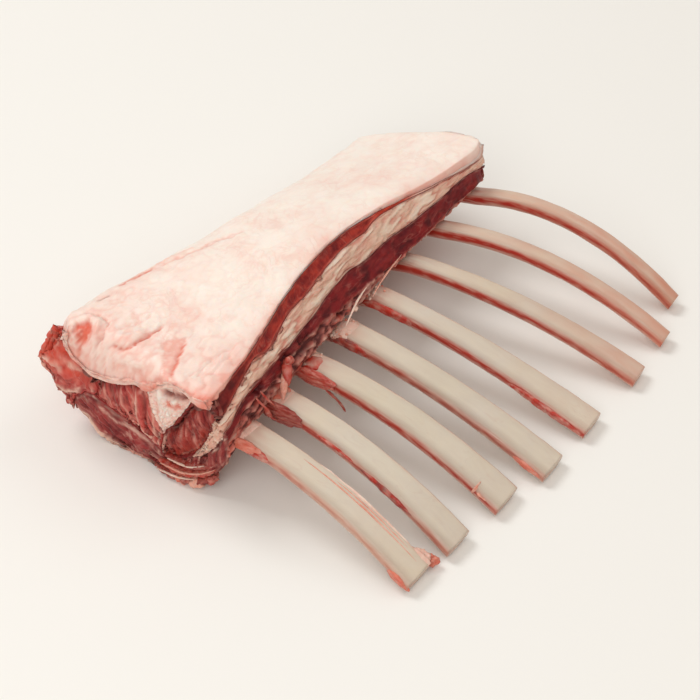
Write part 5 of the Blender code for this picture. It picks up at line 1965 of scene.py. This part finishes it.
def rib_tissue(ribs: Sequence[Rib]) -> Solid:
    """What clings to the ribs: thin skins round the roots, red flaps and torn scraps.

    Args:
        ribs: All the ribs.

    Returns:
        One solid of many closed lenses.
    """
    skins = [
        Patch(number, (-6.0, 2.0 + number % 3), (-0.7, 3.3), 0.3, ROOT_SKIN, ragged=0.8, grain=1.6,
              seed=500 + 11 * number, steps=(40, 40))
        for number in range(1, 5)
    ]
    scraps = [
        Patch(3, (-4.0, 4.0), (0.6, 1.9), 0.8, RED, grain=1.3, seed=633, steps=(40, 24)),
        Patch(2, (-5.0, 2.0), (0.9, 2.5), 0.8, ORANGE, grain=1.3, seed=635, steps=(40, 24)),
        Patch(1, (-4.0, 15.0), (-0.7, 0.9), 0.7, RED, grain=1.3, seed=637, steps=(60, 24)),
        Patch(1, (18.0, 77.0), (1.72, 1.82), 0.2, PINK, grain=1.2, seed=639, steps=(110, 8)),
        Patch(1, (34.0, 72.0), (1.98, 2.05), 0.2, PINK, grain=1.2, seed=640, steps=(90, 8)),
        Patch(1, (22.0, 77.0), (2.22, 2.75), 0.35, CREAM, grain=1.3, seed=642, steps=(110, 16)),
        Patch(1, (70.0, 79.0), (2.2, 2.9), 0.9, ROOT_SKIN, grain=1.3, seed=641, steps=(40, 20)),
        Patch(1, (69.0, 78.5), (-0.9, 0.5), 0.6, ORANGE, grain=1.3, seed=643, steps=(40, 20)),
        Patch(5, (60.0, 94.0), (-0.6, 0.45), 0.6, RED, grain=1.0, seed=645, steps=(110, 16)),
        Patch(2, (40.0, 66.0), (-0.2, 0.6), 0.5, DEEP_RED, grain=1.2, seed=647, steps=(90, 14)),
        Patch(2, (20.0, 40.0), (-0.1, 0.55), 0.3, RED, grain=1.2, seed=648, steps=(70, 14)),
        Patch(3, (75.0, 77.2), (-0.3, 1.5), 0.6, PINK, ragged=0.9, grain=1.6, seed=646, steps=(14, 50)),
        Patch(3, (76.0, 81.0), (0.1, 0.6), 0.5, PINK, ragged=0.9, grain=1.4, seed=652, steps=(30, 20)),
        Patch(4, (-6.0, 14.0), (-0.8, 0.8), 0.4, DEEP_RED, grain=1.3, seed=649, steps=(40, 20)),
        Patch(4, (78.0, 92.0), (-0.5, 0.4), 0.3, ORANGE, grain=1.2, seed=650, steps=(40, 14)),
        Patch(5, (-6.0, 18.0), (-0.7, 0.7), 0.35, RED, grain=1.3, seed=651, steps=(40, 20)),
    ]
    flaps = [flap.solid() for flap in (
        Lump((-64.4, -60.0, 25.0), (2.0, 9.5, 4.0), DEEP_RED, rough=0.35, grain=(1.6, 6.0, 1.3), seed=655,
             steps=(60, 60)),
        Lump((-42.4, -60.0, 25.6), (2.0, 9.0, 3.4), RED, rough=0.35, grain=(1.6, 6.0, 1.3), seed=657,
             steps=(60, 60)),
        Lump((-85.0, -58.5, 25.0), (1.8, 8.0, 2.4), ORANGE, rough=0.35, grain=(1.6, 4.0, 1.3), seed=658,
             steps=(50, 50)),
    )]
    granules = [lump.solid() for lump in root_granules(ribs)]
    return joined([patch.solid(ribs) for patch in skins + scraps] + flaps + granules)


def root_granules(ribs: Sequence[Rib]) -> list[Lump]:
    """Draw the small granules of fat and flesh scattered about each root.

    Args:
        ribs: All the ribs.

    Returns:
        The granules, fewer towards the far end.
    """
    draw = np.random.default_rng(751)
    kinds = (CREAM, PINK, ORANGE, RED)
    granules = []
    for rib, count in zip(ribs, (14, 18, 30, 34, 12, 0, 0, 0)):
        for _ in range(count):
            place = (np.array([draw.normal(-2.2, 1.5)]), np.array([draw.uniform(0.2, 3.0)]),
                     np.array([draw.uniform(-0.4, 0.2)]))
            centre = rib.surface(*place)[0]
            radii = draw.uniform(0.3, 0.95, 3)
            kind = kinds[draw.choice(4, p=(0.5, 0.35, 0.13, 0.02))]
            granules.append(Lump(tuple(centre), tuple(radii), kind, rough=0.5, grain=1.1,
                                 seed=int(draw.integers(5000)), steps=(9, 12)))
    return granules


def torn_strands() -> Solid:
    """Strands of sinew and flesh above the rib roots and between the ribs."""
    strands = [
        # Between ribs 1 and 2.
        Strand(((-71, -54, 35), (-70, -57.5, 31), (-68.5, -58.5, 26), (-66, -60, 23)), 1.9, RED, seed=661),
        Strand(((-68, -54, 36), (-67, -57, 32), (-65, -59, 28)), 1.5, RED, seed=663),
        Strand(((-66, -54, 33), (-65, -57, 29), (-63, -59, 27)), 1.0, PINK, seed=664),
        # The orange tissue above rib 2.
        Strand(((-50, -53, 37.5), (-53, -55.5, 34.5), (-56, -57.5, 31)), 4.4, RED, seed=665, flatness=0.7),
        Strand(((-54, -54.5, 34), (-57.5, -57, 31), (-60.5, -58.5, 28)), 3.0, PINK, seed=666, flatness=0.7),
        # Sinews along the foot of the strip above ribs 4 to 7.
        Strand(((30, -54.0, 32.5), (21, -54.6, 32.2), (12, -55.4, 31.2), (5, -56.2, 29.6)), 0.8, PINK, seed=667,
               steps=50),
        Strand(((4, -54.0, 34.2), (-3, -54.8, 33.6), (-9, -55.8, 32.0), (-15, -56.8, 29.8)), 1.0, CREAM, seed=668,
               steps=50),
        # Shreds: from rib 3's flap and on rib 2's tip.
        Strand(((-42.4, -63, 23.5), (-39.5, -69, 16), (-37.5, -71, 10)), 1.9, RED, seed=673),
        Strand(((-62.5, -132, 6.3), (-60.6, -135, 5.8), (-60.4, -137.2, 4.2)), 1.2, PINK, seed=679),
    ]
    lumps = [
        Lump((-6.6, -55.6, 31.5), (1.2, 1.0, 1.0), CREAM, rough=0.5, grain=1.3, seed=675, steps=(12, 16)),
        Lump((-50.0, -54.5, 37.5), (2.2, 1.6, 1.8), RED, rough=0.5, grain=1.6, seed=677, steps=(16, 20)),
        # The curl between the tips of ribs 1 and 2.
        Lump((-79.6, -129.5, 4.8), (1.8, 4.2, 2.0), ROOT_SKIN, rough=0.6, grain=1.6, seed=681, steps=(24, 30)),
        Lump((-78.6, -133.6, 2.9), (1.8, 2.6, 2.2), ORANGE, rough=0.7, grain=1.5, seed=683, steps=(24, 30)),
    ]
    return joined([strand.solid() for strand in strands] + [lump.solid() for lump in lumps])


def loose_trim() -> Solid:
    """Stacked ribbons of loose trim and lumps of fat along the near bottom edge."""
    ribbons = [
        Strand(((-91.8, -22, 1.6), (-91.8, -31, 1.8), (-91.2, -41, 3.4), (-89.5, -49, 8.5)), 6.5, DEEP_RED,
               flatness=0.5, seed=681, steps=60, sides=20),
        Strand(((-92.0, -24, 5.4), (-91.8, -33, 4.8), (-91.0, -42, 7.4), (-89, -50.5, 13)), 5.5, RED,
               flatness=0.5, seed=683, steps=60, sides=20),
        Strand(((-91.6, -27, 9.2), (-91.2, -35, 8.6), (-90.4, -44, 11.5), (-88.6, -51.5, 17.5)), 5.0, DEEP_RED,
               flatness=0.5, seed=685, steps=60, sides=20),
        Strand(((-94.4, -24, 2.6), (-94.5, -32, 3.0), (-93.4, -41, 4.8)), 1.1, CREAM, seed=687),
        Strand(((-94.2, -26, 6.2), (-94.0, -34, 6.0), (-92.8, -43, 8.6), (-91, -49, 12.5)), 1.2, PINK, seed=689),
        Strand(((-93.6, -29, 9.8), (-93.2, -37, 9.6), (-91.8, -45, 12.8)), 1.0, CREAM, seed=691),
    ]
    lumps = [
        Lump((-92.2, -35.0, 2.0), (2.6, 5.0, 2.1), ORANGE, seed=693, rough=0.55, grain=2.2, steps=(30, 36)),
        Lump((-92.4, -41.0, 2.8), (2.3, 3.2, 2.2), PINK, seed=695, rough=0.55, grain=2.0, steps=(26, 30)),
        Lump((-92.6, -30.0, 1.3), (2.0, 2.6, 1.3), ORANGE, seed=697, rough=0.55, grain=1.8, steps=(22, 26)),
        Lump((-90.5, -46.5, 6.0), (2.2, 2.6, 2.0), RED, seed=699, rough=0.55, grain=1.8, steps=(22, 26)),
    ]
    return joined([ribbon.solid() for ribbon in ribbons] + [lump.solid() for lump in lumps])


# --- the studio -----------------------------------------------------------------------


@dataclass
class Studio:
    """Pale floor, soft lights and the camera."""

    floor_colour: Colour = (0.86, 0.845, 0.80)
    floor_size: float = 8.0
    camera_azimuth: float = 57.336
    camera_elevation: float = 42.222
    camera_distance: float = 0.75
    target: tuple[float, float, float] = (0.000577, -0.048605, 0.0)
    lens: float = 96.685
    shift_up: float = 0.00357

    def floor(self, height: float) -> None:
        """Make the floor, with a faint cloudiness, under the rack.

        Args:
            height: Height of the floor, in metres.
        """
        half = self.floor_size / 2
        mesh = bpy.data.meshes.new("floor")
        corners = [(-half, -half, height), (half, -half, height), (half, half, height), (-half, half, height)]
        mesh.from_pydata(corners, [], [(0, 1, 2, 3)])
        material = bpy.data.materials.new("pale_floor")
        material.use_nodes = True
        tree = material.node_tree
        surface = tree.nodes["Principled BSDF"]
        place = add_node(tree, "TexCoord").outputs["Object"]
        cloud = add_node(tree, "TexNoise", {"Vector": place, "Scale": 3.0, "Detail": 2.0})
        darker = tuple(0.985 * channel for channel in self.floor_colour)
        colour = mix_colour(tree, cloud.outputs["Fac"], self.floor_colour, darker)
        tree.links.new(colour, surface.inputs["Base Color"])
        surface.inputs["Roughness"].default_value = 0.55
        surface.inputs["Specular IOR Level"].default_value = 0.25
        mesh.materials.append(material)
        floor = bpy.data.objects.new("floor", mesh)
        bpy.context.scene.collection.objects.link(floor)
        floor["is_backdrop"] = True

    def lights(self) -> None:
        """Light the rack from above right and behind, with a bright surround."""
        for name, place, size, power, colour in (
            ("key", (0.0, 0.95, 1.4), 0.8, 12.0, (0.975, 0.99, 1.0)),
            ("side", (0.9, -0.6, 1.3), 1.2, 3.4, (0.975, 0.99, 1.0)),
            ("front", (-1.1, -0.4, 1.0), 1.1, 8.2, (0.985, 0.99, 0.995)),
        ):
            light = bpy.data.lights.new(name, "AREA")
            light.shape = "DISK"
            light.size = size
            light.energy = power
            light.color = colour
            lamp = bpy.data.objects.new(name, light)
            lamp.location = place
            lamp.rotation_euler = (-Vector(place)).to_track_quat("-Z", "Y").to_euler()
            bpy.context.scene.collection.objects.link(lamp)
        world = bpy.data.worlds.new("surround")
        world.use_nodes = True
        surround = world.node_tree.nodes["Background"]
        surround.inputs["Color"].default_value = (1.0, 0.925, 0.86, 1.0)
        surround.inputs["Strength"].default_value = 0.5
        bpy.context.scene.world = world
        bpy.context.scene.view_settings.view_transform = "Standard"

    def camera(self) -> None:
        """Set the camera: it looks along the azimuth from +Y towards +X, and downwards."""
        azimuth, elevation = math.radians(self.camera_azimuth), math.radians(self.camera_elevation)
        ahead = Vector((math.sin(azimuth) * math.cos(elevation),
                        math.cos(azimuth) * math.cos(elevation), -math.sin(elevation)))
        right = Vector((math.cos(azimuth), -math.sin(azimuth), 0.0))
        upward = right.cross(ahead)
        lens = bpy.data.cameras.new("camera")
        lens.lens, lens.sensor_width, lens.shift_y = self.lens, 36.0, self.shift_up
        camera = bpy.data.objects.new("camera", lens)
        turn = Matrix((right, upward, -ahead)).transposed()
        place = Vector(self.target) - ahead * self.camera_distance
        camera.matrix_world = Matrix.Translation(place) @ turn.to_4x4()
        bpy.context.scene.collection.objects.link(camera)
        bpy.context.scene.camera = camera


def main() -> None:
    """Build the rack round the frame, and report each piece."""
    logging.basicConfig(level=logging.INFO, format="%(message)s")
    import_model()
    cad_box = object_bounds()
    low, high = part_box("fat_cap")
    section = MeatSection(low.x / MM, high.x / MM)
    effects = SharedEffects()
    finishes = (FAT_FINISH, SEAM_FINISH, LEAN_FINISH, STRIP_FINISH, STRIPED_FINISH, DARK_FINISH,
                BONE_FINISH, SINEW_FINISH)
    materials = {finish.name: finish.build(effects) for finish in finishes}
    for layer in meat_layers():
        layer.build(section, materials)
    ribs = all_ribs()
    for number, rib in enumerate(ribs, start=1):
        rib.build(f"rib_{number}", materials["bone"])
    make_piece("rib_tissue", rib_tissue(ribs), materials["sinew"], Slot.SEAM_FAT)
    make_piece("torn_strands", torn_strands(), materials["sinew"], Slot.SEAM_FAT)
    make_piece("loose_trim", loose_trim(), materials["sinew"], Slot.DARK_LEAN)
    studio = Studio()
    studio.floor(cad_box[0].z)
    studio.lights()
    studio.camera()


if __name__ == "__main__":
    main()
